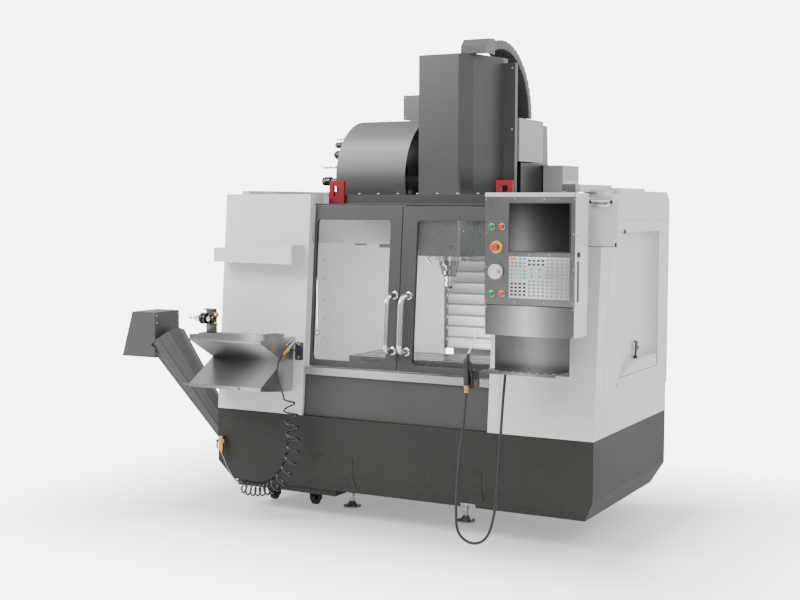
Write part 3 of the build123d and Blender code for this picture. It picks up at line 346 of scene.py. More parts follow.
hood_paint.set("Base Color", hood_paint.mix(painted_shade, rgb(0.07, 0.07, 0.068), rgb(0.012)))
hood_paint.set("Specular IOR Level", 0.35)

# %% [markdown]
# Bare metals come next. Brushed stainless has fine parallel scratches, so its noise is squeezed
# across one direction. Ground and machined steel are the same with shorter marks. Chrome, brass and
# zinc only need a faint change in roughness to stop them from looking like plastic mirrors.

# %% Metals


def brushed(name, colour, along, roughness=0.28, depth=0.12, length=40.0):
    """Metal with streaks: noise that is fine across the brushing and long along it."""
    metal = Finish(name, Metallic=1.0)
    stretch = tuple(1.0 if axis == along else length for axis in "xyz")
    streaks = metal.noise(14, 6, stretch, 0.7)
    cloud = metal.noise(5, 3)
    dark = tuple(c * 0.8 for c in colour[:3]) + (1,)
    metal.set("Base Color", metal.mix(streaks.clamped(0.25, 0.75), dark, colour))
    metal.set("Roughness", roughness + (streaks - 0.5) * 0.22 + (cloud - 0.5) * 0.1)
    metal.set("Normal", metal.bump(streaks, depth, 0.0003, metal.rounded(0.0008)))
    return metal


def painted_band_steel(name, dark, pale, middle, spread, roughness=0.3):
    """Brushed steel with a painted reflection: its tone rises smoothly to a pale band at the middle, in
    millimetres across.
    """
    metal = Finish(name, Metallic=1.0)
    x, y, z = metal.place()
    away = (x - middle) * (1 / spread)
    band = 1 / (away * away + 1)
    streaks = metal.noise(14, 6, (40, 40, 1), 0.7)
    tone = metal.mix(band, dark, pale)
    metal.set("Base Color", metal.mix(streaks.clamped(0.2, 0.8), metal.mix(0.16, tone, rgb(0.0)), tone))
    metal.set("Roughness", roughness + (streaks - 0.5) * 0.18)
    metal.set("Normal", metal.bump(streaks, 0.06, 0.0003, metal.rounded(0.0008)))
    return metal


def plain_metal(name, colour, roughness, grain=0.05):
    """Plated or polished metal with a slight change in roughness and tone."""
    metal = Finish(name, Metallic=1.0)
    cloud = metal.noise(38, 4)
    dark = tuple(c * 0.86 for c in colour[:3]) + (1,)
    metal.set("Base Color", metal.mix(cloud.clamped(0.3, 0.7), dark, colour))
    metal.set("Roughness", roughness + (cloud - 0.5) * 0.1)
    metal.set("Normal", metal.bump(metal.noise(900, 2), grain, 0.0002, metal.rounded(0.0006)))
    return metal


# Painted reflection: the shelf, its rim, the keypad, the shelf's back and the sill each have a pale band
# painted into their colour.
shelf_steel = painted_band_steel("shelf_stainless", rgb(0.17), rgb(0.6), 430, 110, 0.34)
rim_steel = painted_band_steel("rim_stainless", rgb(0.16), rgb(0.75), 455, 45, 0.3)
keypad_steel = painted_band_steel("keypad_stainless", rgb(0.3), rgb(0.8), 2060, 95, 0.36)
back_steel = painted_band_steel("shelf_back_stainless", rgb(0.07), rgb(0.34), 2010, 90, 0.34)
sill_metal = painted_band_steel("satin_aluminium", rgb(0.55), rgb(0.95), 1010, 240, 0.3)
ground_steel = brushed("ground_steel", rgb(0.2, 0.2, 0.2), "x", 0.26, 0.1, 18.0)
slat_steel = brushed("slat_steel", rgb(0.34, 0.34, 0.335), "x", 0.4, 0.08)
nose_steel = plain_metal("nose_steel", rgb(0.3, 0.3, 0.31), 0.12)
chrome = plain_metal("polished_chrome", rgb(0.82, 0.82, 0.82), 0.07, 0.01)
bright_steel = plain_metal("bright_steel", rgb(0.46, 0.46, 0.46), 0.2)
dark_steel = plain_metal("blackened_steel", rgb(0.07, 0.07, 0.07), 0.3)
zinc = plain_metal("zinc_plate", rgb(0.55, 0.55, 0.53), 0.33)
brass = plain_metal("brass_fittings", rgb(0.62, 0.36, 0.1), 0.25)
copper = plain_metal("copper_collar", rgb(0.7, 0.3, 0.12), 0.25)

# %% [markdown]
# Rubber and plastics are not metallic. Rubber is rough with a fine grain, and gloss caps on buttons
# have a clear coat. The window panes are clear: most of the light goes straight through, and only
# a reflection shows that there is glass. The screen is black glass.

# %% Plastics and glass


def plastic(name, colour, roughness, grain=0.1, coat=0.0):
    """Moulded plastic or rubber: an even colour with a fine grain and patchy sheen."""
    mould = Finish(name)
    cloud = mould.noise(30, 3)
    dark = tuple(c * 0.88 for c in colour[:3]) + (1,)
    mould.set("Base Color", mould.mix(cloud.clamped(0.3, 0.7), dark, colour))
    mould.set("Roughness", roughness + (cloud - 0.5) * 0.12)
    mould.set("Normal", mould.bump(mould.noise(1400, 2), grain, 0.0003, mould.rounded(0.0006)))
    mould.set("Coat Weight", coat)
    return mould


rubber = plastic("black_rubber", rgb(0.016, 0.016, 0.016), 0.5, 0.15)
hose_skin = plastic("polyurethane_hose", rgb(0.012, 0.012, 0.013), 0.25, 0.02, 0.4)
black_plastic = plastic("black_plastic", rgb(0.02, 0.02, 0.02), 0.42, 0.2)
chain_plastic = plastic("chain_nylon", rgb(0.085, 0.086, 0.088), 0.42, 0.15)
green_cap = plastic("green_cap", rgb(0.01, 0.2, 0.06), 0.25, 0.0, 0.5)
red_cap = plastic("red_cap", rgb(0.6, 0.03, 0.03), 0.25, 0.0, 0.5)
yellow_cap = plastic("yellow_ring", rgb(0.85, 0.6, 0.02), 0.35, 0.0, 0.3)
white_cap = plastic("pale_knob", rgb(0.62, 0.62, 0.62), 0.3, 0.0, 0.4)
key_grey = plastic("key_grey", rgb(0.22, 0.22, 0.22), 0.45)
key_dark = plastic("key_dark", rgb(0.025, 0.025, 0.028), 0.45)
key_teal = plastic("key_teal", rgb(0.02, 0.32, 0.42), 0.45)
key_orange = plastic("key_orange", rgb(0.75, 0.12, 0.02), 0.45)
acid_green = plastic("acid_green_cap", rgb(0.45, 0.6, 0.03), 0.35)
pane = Finish("clear_pane", Base_Color=rgb(0.75, 0.8, 0.8), Roughness=0.04, Alpha=0.035, IOR=1.45)
screen = Finish("screen_glass", IOR=1.5)
# Painted sheen: the screen's colour rises to a pale patch round x 1985 mm, paler towards the bottom.
x, y, z = screen.place()
painted_sheen = 1 / (((x - 1985) * (1 / 70)) ** 2 + 1) * z.clamped(1790, 1560)
screen.set("Base Color", screen.mix(painted_sheen, rgb(0.002), rgb(0.13)))
screen.set("Specular IOR Level", 0.25)
screen.set("Roughness", 0.12 + (screen.noise(12, 3) - 0.5) * 0.04)

# %% [markdown]
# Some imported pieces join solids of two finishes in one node, such as a door and its chrome handle.
# Their meshes stay as they are, so the finish itself tells the solids apart by where a point is.
# A mask is one or nought, and the colour, roughness and metalness each follow it.

# %% Two-finish materials


def two_finish(name, mask_of, first, second, peel=0.04):
    """Two looks in one material: each is colour, roughness and metalness, and the mask picks one."""
    both = Finish(name)
    mask = mask_of(both, *both.place())
    cloud = both.noise(9, 4)
    first_tones = [rgb(*[c * k for c in first[0]]) for k in (0.92, 1.06)]
    second_tones = [rgb(*[c * k for c in second[0]]) for k in (0.9, 1.06)]
    tones = [both.mix(cloud, *first_tones), both.mix(cloud, *second_tones)]
    both.set("Base Color", both.mix(mask, *tones))
    both.set("Roughness", mask * (second[1] - first[1]) + first[1] + (cloud - 0.5) * 0.08)
    both.set("Metallic", mask * (second[2] - first[2]) + first[2])
    both.set("Normal", both.bump(both.noise(600, 2), peel, 0.0004, both.rounded(0.001)))
    return both


bed_finish = two_finish(
    "bed_and_rails", lambda f, x, y, z: z > 600.5,
    ((0.2, 0.21, 0.21), 0.5, 0), ((0.5,) * 3, 0.22, 1), 0.3)
column_finish = two_finish(
    "column_and_rails", lambda f, x, y, z: y < 1199.5,
    ((0.2, 0.21, 0.21), 0.5, 0), ((0.5,) * 3, 0.22, 1), 0.3)
wall_finish = two_finish(
    "walls_and_pipe", lambda f, x, y, z: x.between(125, 176) & y.between(805, 855),
    ((0.6,) * 3, 0.3, 0), ((0.75,) * 3, 0.12, 1))
wheel_finish = two_finish(
    "tyre_and_fork", lambda f, x, y, z: z > 76, ((0.015,) * 3, 0.55, 0), ((0.4,) * 3, 0.3, 1))
head_finish = two_finish(
    "head_and_nozzles", lambda f, x, y, z: z < 1470,
    ((0.2, 0.21, 0.21), 0.5, 0), ((0.72,) * 3, 0.16, 1), 0.2)
arm_finish = two_finish(
    "arm_and_pivot", lambda f, x, y, z: (y < -118) & (z < 1848.2),
    ((0.5,) * 3, 0.4, 0), ((0.22,) * 3, 0.3, 1))

# %% [markdown]
# Wide steel plates get a painted reflection: a pale band painted into their colour that fades to both
# sides. The band is one over one plus the square of the distance from its middle, and the yellow ring
# is a disc about its centre.

# %% Pendant plates and service boxes
fascia_finish = Finish("fascia_and_ring")
x, y, z = fascia_finish.place()
ring = ((x - 1853) ** 2 + (z - 1544) ** 2 < 31 ** 2) & (y < -250.3)
# Painted reflection on the pendant's face: the pale band is stronger and narrower on the lower plate, whose
# steel beside it is painted darker.
lower_plate = z < 1262
away = (x - (lower_plate * -70 + 2080)) * (lower_plate * 0.0045 + 0.007)
band = (1 / (away * away + 1)) * (lower_plate * 0.78 + 0.22)
streaks = fascia_finish.noise(14, 6, (40, 40, 1), 0.7)
steel = fascia_finish.mix(band, fascia_finish.mix(lower_plate, rgb(0.2), rgb(0.07)), rgb(0.85))
steel = fascia_finish.mix(streaks.clamped(0.2, 0.8), fascia_finish.mix(0.16, steel, rgb(0.0)), steel)
fascia_finish.set("Base Color", fascia_finish.mix(ring, steel, rgb(0.8, 0.5, 0.02)))
fascia_finish.set("Metallic", 1 - ring)
fascia_finish.set("Roughness", 0.3 + (streaks - 0.5) * 0.16)
fascia_finish.set("Normal", fascia_finish.bump(streaks, 0.05, 0.0003, fascia_finish.rounded(0.0008)))


def in_drive_box(finish, x, y, z):
    """The dark drive box: between two planes across the machine and below the box on top of it."""
    return x.between(1354, 1464) & (z < 1995)


box_finish = two_finish("service_box_paints", in_drive_box, ((0.3,) * 3, 0.35, 0), ((0.008,) * 3, 0.4, 0))
x, y, z = box_finish.place()
grey = box_finish.mix(x < 915, rgb(0.33), rgb(0.12))
box_finish.set("Base Color", box_finish.mix(in_drive_box(box_finish, x, y, z), grey, rgb(0.008)))

DRESS = {
    "bed_casting": bed_finish, "column": column_finish, "leveling_feet": zinc, "base_skirt": dark_paint,
    "left_front_panel": white_paint, "right_front_panel": white_paint, "left_side_panel": white_paint,
    "right_side_panel": white_paint, "side_latch": dark_steel, "lower_front_panel": door_paint,
    "door_sill": sill_metal, "header_beam": door_paint, "lifting_brackets": red_paint,
    "inner_walls": wall_finish, "coolant_tank": dark_paint, "tank_wheels_front": wheel_finish,
    "tank_wheels_rear": wheel_finish, "control_cabinet": light_grey_paint, "service_boxes": box_finish,
    "left_window": pane, "right_window": pane, "saddle": cast_paint, "table": ground_steel,
    "head_casting": head_finish, "head_cover": hood_paint, "carousel_cover": cover_paint,
    "tool_changer_housing": housing_paint, "chip_chute": chute_paint, "chip_auger": ground_steel,
    "tool_tray": white_paint, "work_shelf": shelf_steel, "air_gun_trigger": bright_steel,
    "air_valve": brass,
    "valve_lever": black_plastic, "pendant_arm": arm_finish, "document_board": white_paint,
    "document_clip": chrome, "pendant_case": white_paint, "pendant_fascia": fascia_finish,
    "display": screen,
    "estop_button": red_cap, "pendant_shelf": back_steel, "wash_gun_trigger": black_plastic,
    "power_on_button": green_cap, "power_off_button": red_cap, "cycle_start_button": green_cap,
    "feed_hold_button": red_cap,
}
for node, finish in DRESS.items():
    held = nodes[node].data.materials
    held.clear()
    held.append(finish.material)
print("dressed", len(DRESS), "packed pieces")

# %% [markdown]
# New pieces are surfaces worked out with numpy. A surface is a grid of points, ring after ring, with
# four-sided faces between neighbours and a flat face on each end. Keeping points, corner numbers and
# face sizes as whole arrays makes it quick to copy a screw a hundred times.

# %% Surfaces


def surface(points, around=True, along=False, caps=True):
    """Quads between neighbouring points of a grid; the last joins the first where it goes around."""
    rings, count = points.shape[:2]
    index = np.arange(rings * count).reshape(rings, count)
    start = index if along else index[:-1]
    end = np.roll(index, -1, 0) if along else index[1:]
    if around:
        quads = np.stack([start, np.roll(start, -1, 1), np.roll(end, -1, 1), end], -1)
    else:
        quads = np.stack([start[:, :-1], start[:, 1:], end[:, 1:], end[:, :-1]], -1)
    corners, sizes = [quads.ravel()], [np.full(quads.size // 4, 4)]
    if caps and around and not along:
        corners += [index[0][::-1], index[-1]]
        sizes += [[count], [count]]
    return points.reshape(-1, 3), np.concatenate(corners), np.concatenate(sizes)


def joined(*surfaces):
    """Several surfaces as one: each one's corner numbers count on from the points before it."""
    starts = np.cumsum([0] + [len(s[0]) for s in surfaces])
    return (
        np.vstack([s[0] for s in surfaces]),
        np.concatenate([s[1] + start for s, start in zip(surfaces, starts)]),
        np.concatenate([s[2] for s in surfaces]),
    )


def repeated(shape, spots):
    """One shape copied to every spot, by adding each spot to all of its points."""
    spots = np.asarray(spots, float).reshape(-1, 3)
    points, corners, sizes = shape
    moved = spots[:, None] + points[None]
    numbers = corners[None] + (np.arange(len(spots)) * len(points))[:, None]
    return moved.reshape(-1, 3), numbers.ravel(), np.tile(sizes, len(spots))


def across(axis):
    """Two directions square to an axis and to each other, and the axis at length one."""
    along = np.asarray(axis, float) / np.linalg.norm(axis)
    helper = np.array([0.0, 0.0, 1.0]) if abs(along[2]) < 0.9 else np.array([1.0, 0.0, 0.0])
    side = np.cross(helper, along)
    side /= np.linalg.norm(side)
    return side, np.cross(along, side), along


def turned(profile, at=(0, 0, 0), axis=(0, 0, 1), sides=32, ring=False):
    """A lathe shape: radius times cosine and sine of the turn across the axis, height along it."""
    profile = np.asarray(profile, float)
    turns = np.arange(sides) * 2 * np.pi / sides
    side, over, along = across(axis)
    spokes = np.cos(turns)[:, None] * side + np.sin(turns)[:, None] * over
    points = np.asarray(at, float) + profile[:, 0, None, None] * spokes + profile[:, 1, None, None] * along
    return surface(points, along=ring, caps=not ring)


def round_rectangle(width, height, corner, inset=0.0, steps=5):
    """An outline: four quarter turns about the corners' centres, their radius less by the inset."""
    turns = np.radians(np.arange(4)[:, None] * 90 + np.linspace(0, 90, steps))
    corner = min(corner, width / 2 - 0.01, height / 2 - 0.01)
    x = np.array([1, -1, -1, 1])[:, None] * (width / 2 - corner) + (corner - inset) * np.cos(turns)
    z = np.array([1, 1, -1, -1])[:, None] * (height / 2 - corner) + (corner - inset) * np.sin(turns)
    return np.stack([x.ravel(), z.ravel()], -1)


FRONT = np.array([[1, 0, 0], [0, 0, 1], [0, -1, 0]], float)
TOP = np.eye(3)
UNDER = np.diag([1.0, -1.0, -1.0])
RIGHT = np.array([[0, 1, 0], [0, 0, 1], [1, 0, 0]], float)
LEFT = np.array([[0, -1, 0], [0, 0, 1], [-1, 0, 0]], float)


def plate(width, height, thick, at, facing=FRONT, corner=2.0, edge=1.0, steps=4):
    """A plate that stands out from at, its four edges rounded by rings that step in as they rise."""
    corner = max(corner, edge * 1.05)
    rises = [(0.0, 0.0), (0.0, thick - edge), (edge * 0.3, thick - edge * 0.3), (edge, thick)]
    rings = [np.column_stack([round_rectangle(width, height, corner, inset, steps),
                              np.full(4 * steps, rise)]) for inset, rise in rises]
    points, corners, sizes = surface(np.array(rings))
    return points @ facing + np.asarray(at, float), corners, sizes


def leaned(shape):
    """The shape pushed back with the enclosure's front, by the lean at each point's height."""
    points = shape[0].copy()
    points[:, 1] += lean(points[:, 2])
    return points, shape[1], shape[2]


def carried(outline, path, reference):
    """An outline carried along a path; its directions come from the heading and a fixed reference."""
    path = np.asarray(path, float)
    heading = np.gradient(path, axis=0)
    heading /= np.linalg.norm(heading, axis=1, keepdims=True)
    side = np.cross(np.asarray(reference, float), heading)
    side /= np.linalg.norm(side, axis=1, keepdims=True)
    over = np.cross(heading, side)
    outline = np.asarray(outline, float)
    points = path[:, None] + outline[None, :, :1] * side[:, None] + outline[None, :, 1:] * over[:, None]
    return surface(points)


def circle(radius, sides=16):
    turns = np.arange(sides) * 2 * np.pi / sides
    return radius * np.column_stack([np.cos(turns), np.sin(turns)])


def assemble(name, body, parts, stands_for=(), sharp=32):
    """One object out of (surface, finish) pairs, in metres, with faces turned outwards."""
    finishes = list(dict.fromkeys(finish for _, finish in parts))
    points, corners, sizes = joined(*[shape for shape, _ in parts])
    numbers = np.concatenate([np.full(len(shape[2]), finishes.index(finish)) for shape, finish in parts])
    mesh = bpy.data.meshes.new(name)
    mesh.vertices.add(len(points))
    mesh.vertices.foreach_set("co", metres(points).astype(np.float32).ravel())
    mesh.loops.add(len(corners))
    mesh.loops.foreach_set("vertex_index", corners.astype(np.int32))
    mesh.polygons.add(len(sizes))
    mesh.polygons.foreach_set("loop_start", (np.cumsum(sizes) - sizes).astype(np.int32))
    mesh.polygons.foreach_set("material_index", numbers.astype(np.int32))
    mesh.update(calc_edges=True)
    for finish in finishes:
        mesh.materials.append(finish.material)
    solid = bmesh.new()
    solid.from_mesh(mesh)
    bmesh.ops.recalc_face_normals(solid, faces=solid.faces)
    solid.to_mesh(mesh)
    solid.free()
    mesh.shade_smooth()
    mesh.set_sharp_from_angle(angle=math.radians(sharp))
    made = bpy.data.objects.new(name, mesh)
    bpy.context.scene.collection.objects.link(made)
    if body:
        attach(made, body)
    if stands_for:
        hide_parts(*stands_for)
    print(name, "faces", len(sizes))
    return made


SCREW = [(4.0, 0.0), (4.0, 1.4), (3.3, 2.5), (1.9, 2.8), (1.7, 1.2)]


def screws(spots, axis, size=1.0, sides=10):
    """Button-head screws: a low dome with a socket, copied to every spot."""
    return repeated(turned(np.array(SCREW) * size, (0, 0, 0), axis, sides), spots)

# %% [markdown]
# The hoses take their finish now that it exists. The air hose leaves the brass valve on the base and
# ends in the blow gun on its hook. The wash hose leaves the pendant's shelf, hangs in one long loop
# and ends in the wash gun.

# %% Dress the hoses
for line, finish in ((air_hose, hose_skin), (wash_hose, rubber)):
    line.data.materials.append(finish.material)
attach(air_hose, "machine")
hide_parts("air_hose_ends", "air_hose_coil")
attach(wash_hose, "pendant")
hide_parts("wash_hose")

# %% [markdown]
# A sliding door is a flat steel frame with a round-cornered window. Its outline and its window's
# outline have the same number of points, so one loop of rings, outside, front, inside and back, makes
# the whole frame with small rounded edges. The pull handle is a bent chrome tube on two flanges.

# %% Doors


DOOR_LOW, DOOR_HIGH = 856.0, 1740.0
PANE_LOW, PANE_HIGH, PANE_CORNER = 893.0, 1664.0, 22.0
DOOR_FRONT, REBATE, DOOR_BACK, SEAT, RING_STEPS = 40, 46, 72, 8.0, 8


def door_frame(x0, x1, pane_x0, pane_x1):
    """Rings of outlines: outside edge, front face, window edge and back face, joined end to end."""
    z0, z1, low, high, steps, edge = DOOR_LOW, DOOR_HIGH, PANE_LOW, PANE_HIGH, RING_STEPS, 1.6
    outer = round_rectangle(x1 - x0, z1 - z0, 3.0, 0.0, steps) + ((x0 + x1) / 2, (z0 + z1) / 2)
    outer_in = round_rectangle(x1 - x0, z1 - z0, 3.0, edge, steps) + ((x0 + x1) / 2, (z0 + z1) / 2)
    middle = ((pane_x0 + pane_x1) / 2, (low + high) / 2)
    inner = round_rectangle(pane_x1 - pane_x0, high - low, PANE_CORNER, 0.0, steps) + middle
    inner_out = round_rectangle(pane_x1 - pane_x0, high - low, PANE_CORNER, -edge, steps) + middle
    seat = round_rectangle(pane_x1 - pane_x0, high - low, PANE_CORNER, -SEAT, steps) + middle
    rings = [
        (outer, DOOR_BACK), (outer, DOOR_FRONT + edge), (outer_in, DOOR_FRONT), (inner_out, DOOR_FRONT),
        (inner, DOOR_FRONT + edge), (inner, REBATE), (seat, REBATE), (seat, DOOR_BACK),
    ]
    points = np.array([np.column_stack([o[:, 0], np.full(len(o), y), o[:, 1]]) for o, y in rings])
    return leaned(surface(points, along=True))


def gasket(pane_x0, pane_x1):
    """A rubber lip round the window: a small arch carried round the opening's inner edge."""
    low, high, steps = PANE_LOW, PANE_HIGH, RING_STEPS
    lip = [(-0.2 - SEAT, 71), (-0.2 - SEAT, 66), (0.6 - SEAT, 65), (2.2 - SEAT, 65.4), (3.0 - SEAT, 67),
        (3.0 - SEAT, 71.5)]
    middle = ((pane_x0 + pane_x1) / 2, (low + high) / 2)
    outlines = [(round_rectangle(pane_x1 - pane_x0, high - low, PANE_CORNER, inset, steps) + middle, y)
        for inset, y in lip]
    points = np.array([np.column_stack([o[:, 0], np.full(len(o), y), o[:, 1]]) for o, y in outlines])
    return leaned(surface(points, along=True))


def pull_handle(x):
    """A round tube carried up a path with two quarter bends, and a turned flange at each end."""
    low, high, out, bend = 963.0, 1262.0, 90.0, 42.0
    quarter = np.radians(np.linspace(0, 90, 12))
    lower = np.column_stack([40 - out + bend - bend * np.sin(quarter), low + bend - bend * np.cos(quarter)])
    upper = np.column_stack([40 - out + bend - bend * np.cos(quarter),
        high - bend + bend * np.sin(quarter)])
    line = np.vstack([[(40.5, low), (20, low)], lower, [(40 - out, (low + high) / 2)], upper,
        [(20, high), (40.5, high)]])
    path = np.column_stack([np.full(len(line), float(x)), line[:, 0] + lean(line[:, 1]), line[:, 1]])
    flange = [(22.2, 0.0), (22.2, 3.0), (21.0, 5.0), (17.5, 6.5), (16.0, 9.0)]
    feet = [turned(flange, (x, lean(z) + 40, z), (0, -1, 0.08), 32) for z in (low, high)]
    return joined(carried(circle(15, 24), path, (1, 0, 0)), *feet)


DOORS = {"left_door": (578, 1130, 593, 1059, 1104), "right_door": (1133, 1690, 1222, 1680, 1189)}
for door, (x0, x1, pane_x0, pane_x1, handle_x) in DOORS.items():
    assemble(door + "_leaf", door, [(door_frame(x0, x1, pane_x0, pane_x1), door_paint),
                                   (pull_handle(handle_x), chrome)], [door])
    assemble(door + "_gasket", door, [(gasket(pane_x0, pane_x1), rubber)])

# %% [markdown]
# The carousel is a disc with twenty pockets on its rim. Each pocket is a block with two fingers that
# hold a tool by the groove of its flange. The tools are lathe shapes; a drill or end mill has flutes,
# which are a ripple round the bar that turns as it rises.

# %% Carousel
CAROUSEL_Y, CAROUSEL_Z, DISC_X, PITCH_R = 842.0, 1894.0, 610.0, 262.0
TO_LEFT = (-1, 0, 0)


def fluted(radius, length, at, axis, flutes=2, twist=0.05, depth=0.3, sides=32, rings=40):
    """A bar whose radius ripples round it, the ripple turned further with each ring."""
    height = np.linspace(0, length, rings)[:, None]
    turns = (np.arange(sides) * 2 * np.pi / sides)[None]
    ripple = 1 - depth * (0.5 + 0.5 * np.cos(flutes * (turns - twist * height))) ** 2
    taper = np.clip((length - height) / (radius * 0.8), 0.12, 1)
    side, over, along = across(axis)
    reach = (radius * ripple * taper)[..., None]
    points = reach * (np.cos(turns)[..., None] * side + np.sin(turns)[..., None] * over)
    return surface(np.asarray(at, float) + points + height[..., None] * along)


def pocket_spot(number):
    turned_by = np.radians(200 - number * 18.0)
    return CAROUSEL_Y + PITCH_R * np.cos(turned_by), CAROUSEL_Z + PITCH_R * np.sin(turned_by), turned_by


def pocket(number):
    """A rounded block square to the disc's radius, with two fingers and a grip screw."""
    y, z, by = pocket_spot(number)
    facing = np.array([[0, -np.sin(by), np.cos(by)], [0, np.cos(by), np.sin(by)], [-1, 0, 0]])
    base = np.array([DISC_X, y, z])
    block = plate(58, 62, 61, base, facing, 6, 2)
    fingers = [plate(9, 46, 16, base + facing[0] * s * 27 + facing[2] * 61 + facing[1] * 6, facing, 4,
        1.5) for s in (-1, 1)]
    bolt = turned(np.array(SCREW) * 1.2, base + facing[2] * 61 + facing[1] * -24, facing[2], 10)
    return block, joined(*fingers), bolt


def held_tool(number, kind):
    """Flange with its groove, collet nut and cutter, all turned about the pocket's own axis."""
    y, z, _ = pocket_spot(number)
    start = (DISC_X - 61, y, z)
    grip = [(31.5, 0), (31.5, 7), (26.5, 10.5), (26.5, 15), (31.5, 18.5), (31.5, 26),
        (30.5, 27), (22, 27.5)]
    nut = [(22, 27), (22, 48), (20.8, 50), (20.8, 53), (22, 55), (22, 68), (19, 71.8), (12, 72)]
    parts = [(turned(grip, start, TO_LEFT, 36), dark_steel), (turned(nut, start, TO_LEFT, 28), dark_steel)]
    end = (DISC_X - 61 - 71.5, y, z)
    if kind == "drill":
        shank = [(8, 0), (8, 40), (6.6, 43), (6.6, 44)]
        parts += [(turned(shank, end, TO_LEFT, 20), bright_steel),
                  (fluted(6.6, 91, (end[0] - 43.5, y, z), TO_LEFT, 2, 0.09), bright_steel)]
    elif kind == "mill":
        parts += [(turned([(16, 0), (16, 34), (18.6, 38), (18.6, 40)], end, TO_LEFT, 24), dark_steel),
                  (fluted(18.8, 65, (end[0] - 39.5, y, z), TO_LEFT, 4, 0.04, 0.18), dark_steel)]
    elif kind == "dome":
        dome = [(17, 0), (17, 16), (26.6, 22), (26.6, 44), (24.5, 55), (19, 64), (12, 71), (5, 74.6)]
        parts.append((turned(dome, end, TO_LEFT, 36), dark_steel))
    elif kind == "pin":
        parts += [(turned([(3.9, 0), (3.9, 120), (3.2, 121)], end, TO_LEFT, 16), brass),
                  (turned([(2.6, 120), (2.6, 146), (1.2, 149.6)], end, TO_LEFT, 12), brass)]
    else:
        shell = [(18, 0), (18, 60), (26.6, 66), (26.6, 106), (24, 119), (12, 119.6)]
        inserts = [turned([(5, 0), (5, 3), (4, 3.5)],
                          (end[0] - 104, y + 24 * np.cos(a), z + 24 * np.sin(a)),
                          (0, np.cos(a), np.sin(a)), 6)
                   for a in np.radians([20, 110, 200, 290])]
        parts += [(turned(shell, end, TO_LEFT, 36), dark_steel), (joined(*inserts), brass)]
    return parts


HELD = {0: "mill", 1: "holder", 2: "drill", 3: "dome", 4: "mill", 5: "pin", 6: "drill", 8: "holder",
        10: "drill", 12: "dome", 15: "mill", 17: "holder", 18: "drill"}
disc = [(30.2, -40), (68, -40), (70, -38), (70, -1), (299, 0), (300, 1.5), (300, 14.5), (299, 16), (72, 17),
    (70, 78), (68, 80), (30.2, 80)]
blocks, fingers, bolts = zip(*[pocket(number) for number in range(20)])
hub_bolts = [(DISC_X - 40, CAROUSEL_Y + 52 * math.cos(a), CAROUSEL_Z + 52 * math.sin(a))
    for a in np.arange(6) * math.pi / 3]
parts = [
    (turned(disc, (DISC_X, CAROUSEL_Y, CAROUSEL_Z), (1, 0, 0), 96, ring=True), cast_paint),
    (joined(*blocks), dark_steel), (joined(*fingers), bright_steel),
    (joined(*bolts, screws(hub_bolts, TO_LEFT, 1.4)), zinc),
]
for number, kind in HELD.items():
    parts += held_tool(number, kind)
assemble("tool_carousel", "carousel", parts, ["carousel"])

# %% [markdown]
# The cable chain carries the head's wires over to the column. Each link is two side plates, shaped like
# a figure of eight, and cross bars that close it above and below. Links are laid along an arc at equal
# angles, and four hoses run inside.

# %% Cable chain
CHAIN_Y, CHAIN_Z, CHAIN_R, LINKS = 841.0, 2262.0, 394.0, 17
CHAIN_X, CHAIN_WIDE = 1262.0, 140.0
CHAIN_SWEEP = math.radians(116)
step = CHAIN_SWEEP / LINKS
link_pitch = CHAIN_R * step


def chain_link(number):
    """Side plates and bars placed by the arc's two directions: along it and away from its middle."""
    by = CHAIN_SWEEP - (number + 0.5) * step
    along = np.array([0, -math.sin(by), math.cos(by)])
    out = np.array([0, math.cos(by), math.sin(by)])
    middle = np.array([0, CHAIN_Y + CHAIN_R * math.cos(by), CHAIN_Z + CHAIN_R * math.sin(by)])
    sides = []
    for s, x in ((-1, CHAIN_X), (1, CHAIN_X + CHAIN_WIDE)):
        facing = np.array([along, out, [s, 0, 0]])
        foot = middle + np.array([x - s * 7, 0, 0])
        sides.append(plate(link_pitch + 5, 50, 6.5 - number % 2 * 0.5, foot, facing, 14, 1.2, 5))
        pin = foot + along * link_pitch * 0.3
        sides.append(turned([(11, 6), (11, 7.4), (9.5, 8), (4, 8), (3.6, 6.8)],
            pin - [s, 0, 0], (s, 0, 0), 16))
    bars = []
    for s in (-1, 1):
        facing = np.array([[1, 0, 0], along, s * out])
        bars.append(plate(CHAIN_WIDE - 12, link_pitch * 0.96, 5.5,
            middle + out * s * 19.5 + [CHAIN_X + CHAIN_WIDE / 2, 0, 0], facing, 3, 1.2))
    return joined(*sides, *bars)


def inner_line(x, out):
    """A hose inside the chain: the chain's own arc at a small offset, carried with a round outline."""
    by = np.linspace(CHAIN_SWEEP, 0, 48)
    path = np.column_stack([np.full(48, x), CHAIN_Y + (CHAIN_R + out) * np.cos(by),
        CHAIN_Z + (CHAIN_R + out) * np.sin(by)])
    return carried(circle(8, 12), path, (1, 0, 0))


lines = joined(*[inner_line(CHAIN_X + x, out) for x, out in ((34, -4), (62, 3), (92, -3), (114, 2))])
chain = assemble("cable_chain_links", None,
    [(joined(*[chain_link(n) for n in range(LINKS)]), chain_plastic),
                                       (lines, rubber)], ["cable_chain"])
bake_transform(chain)
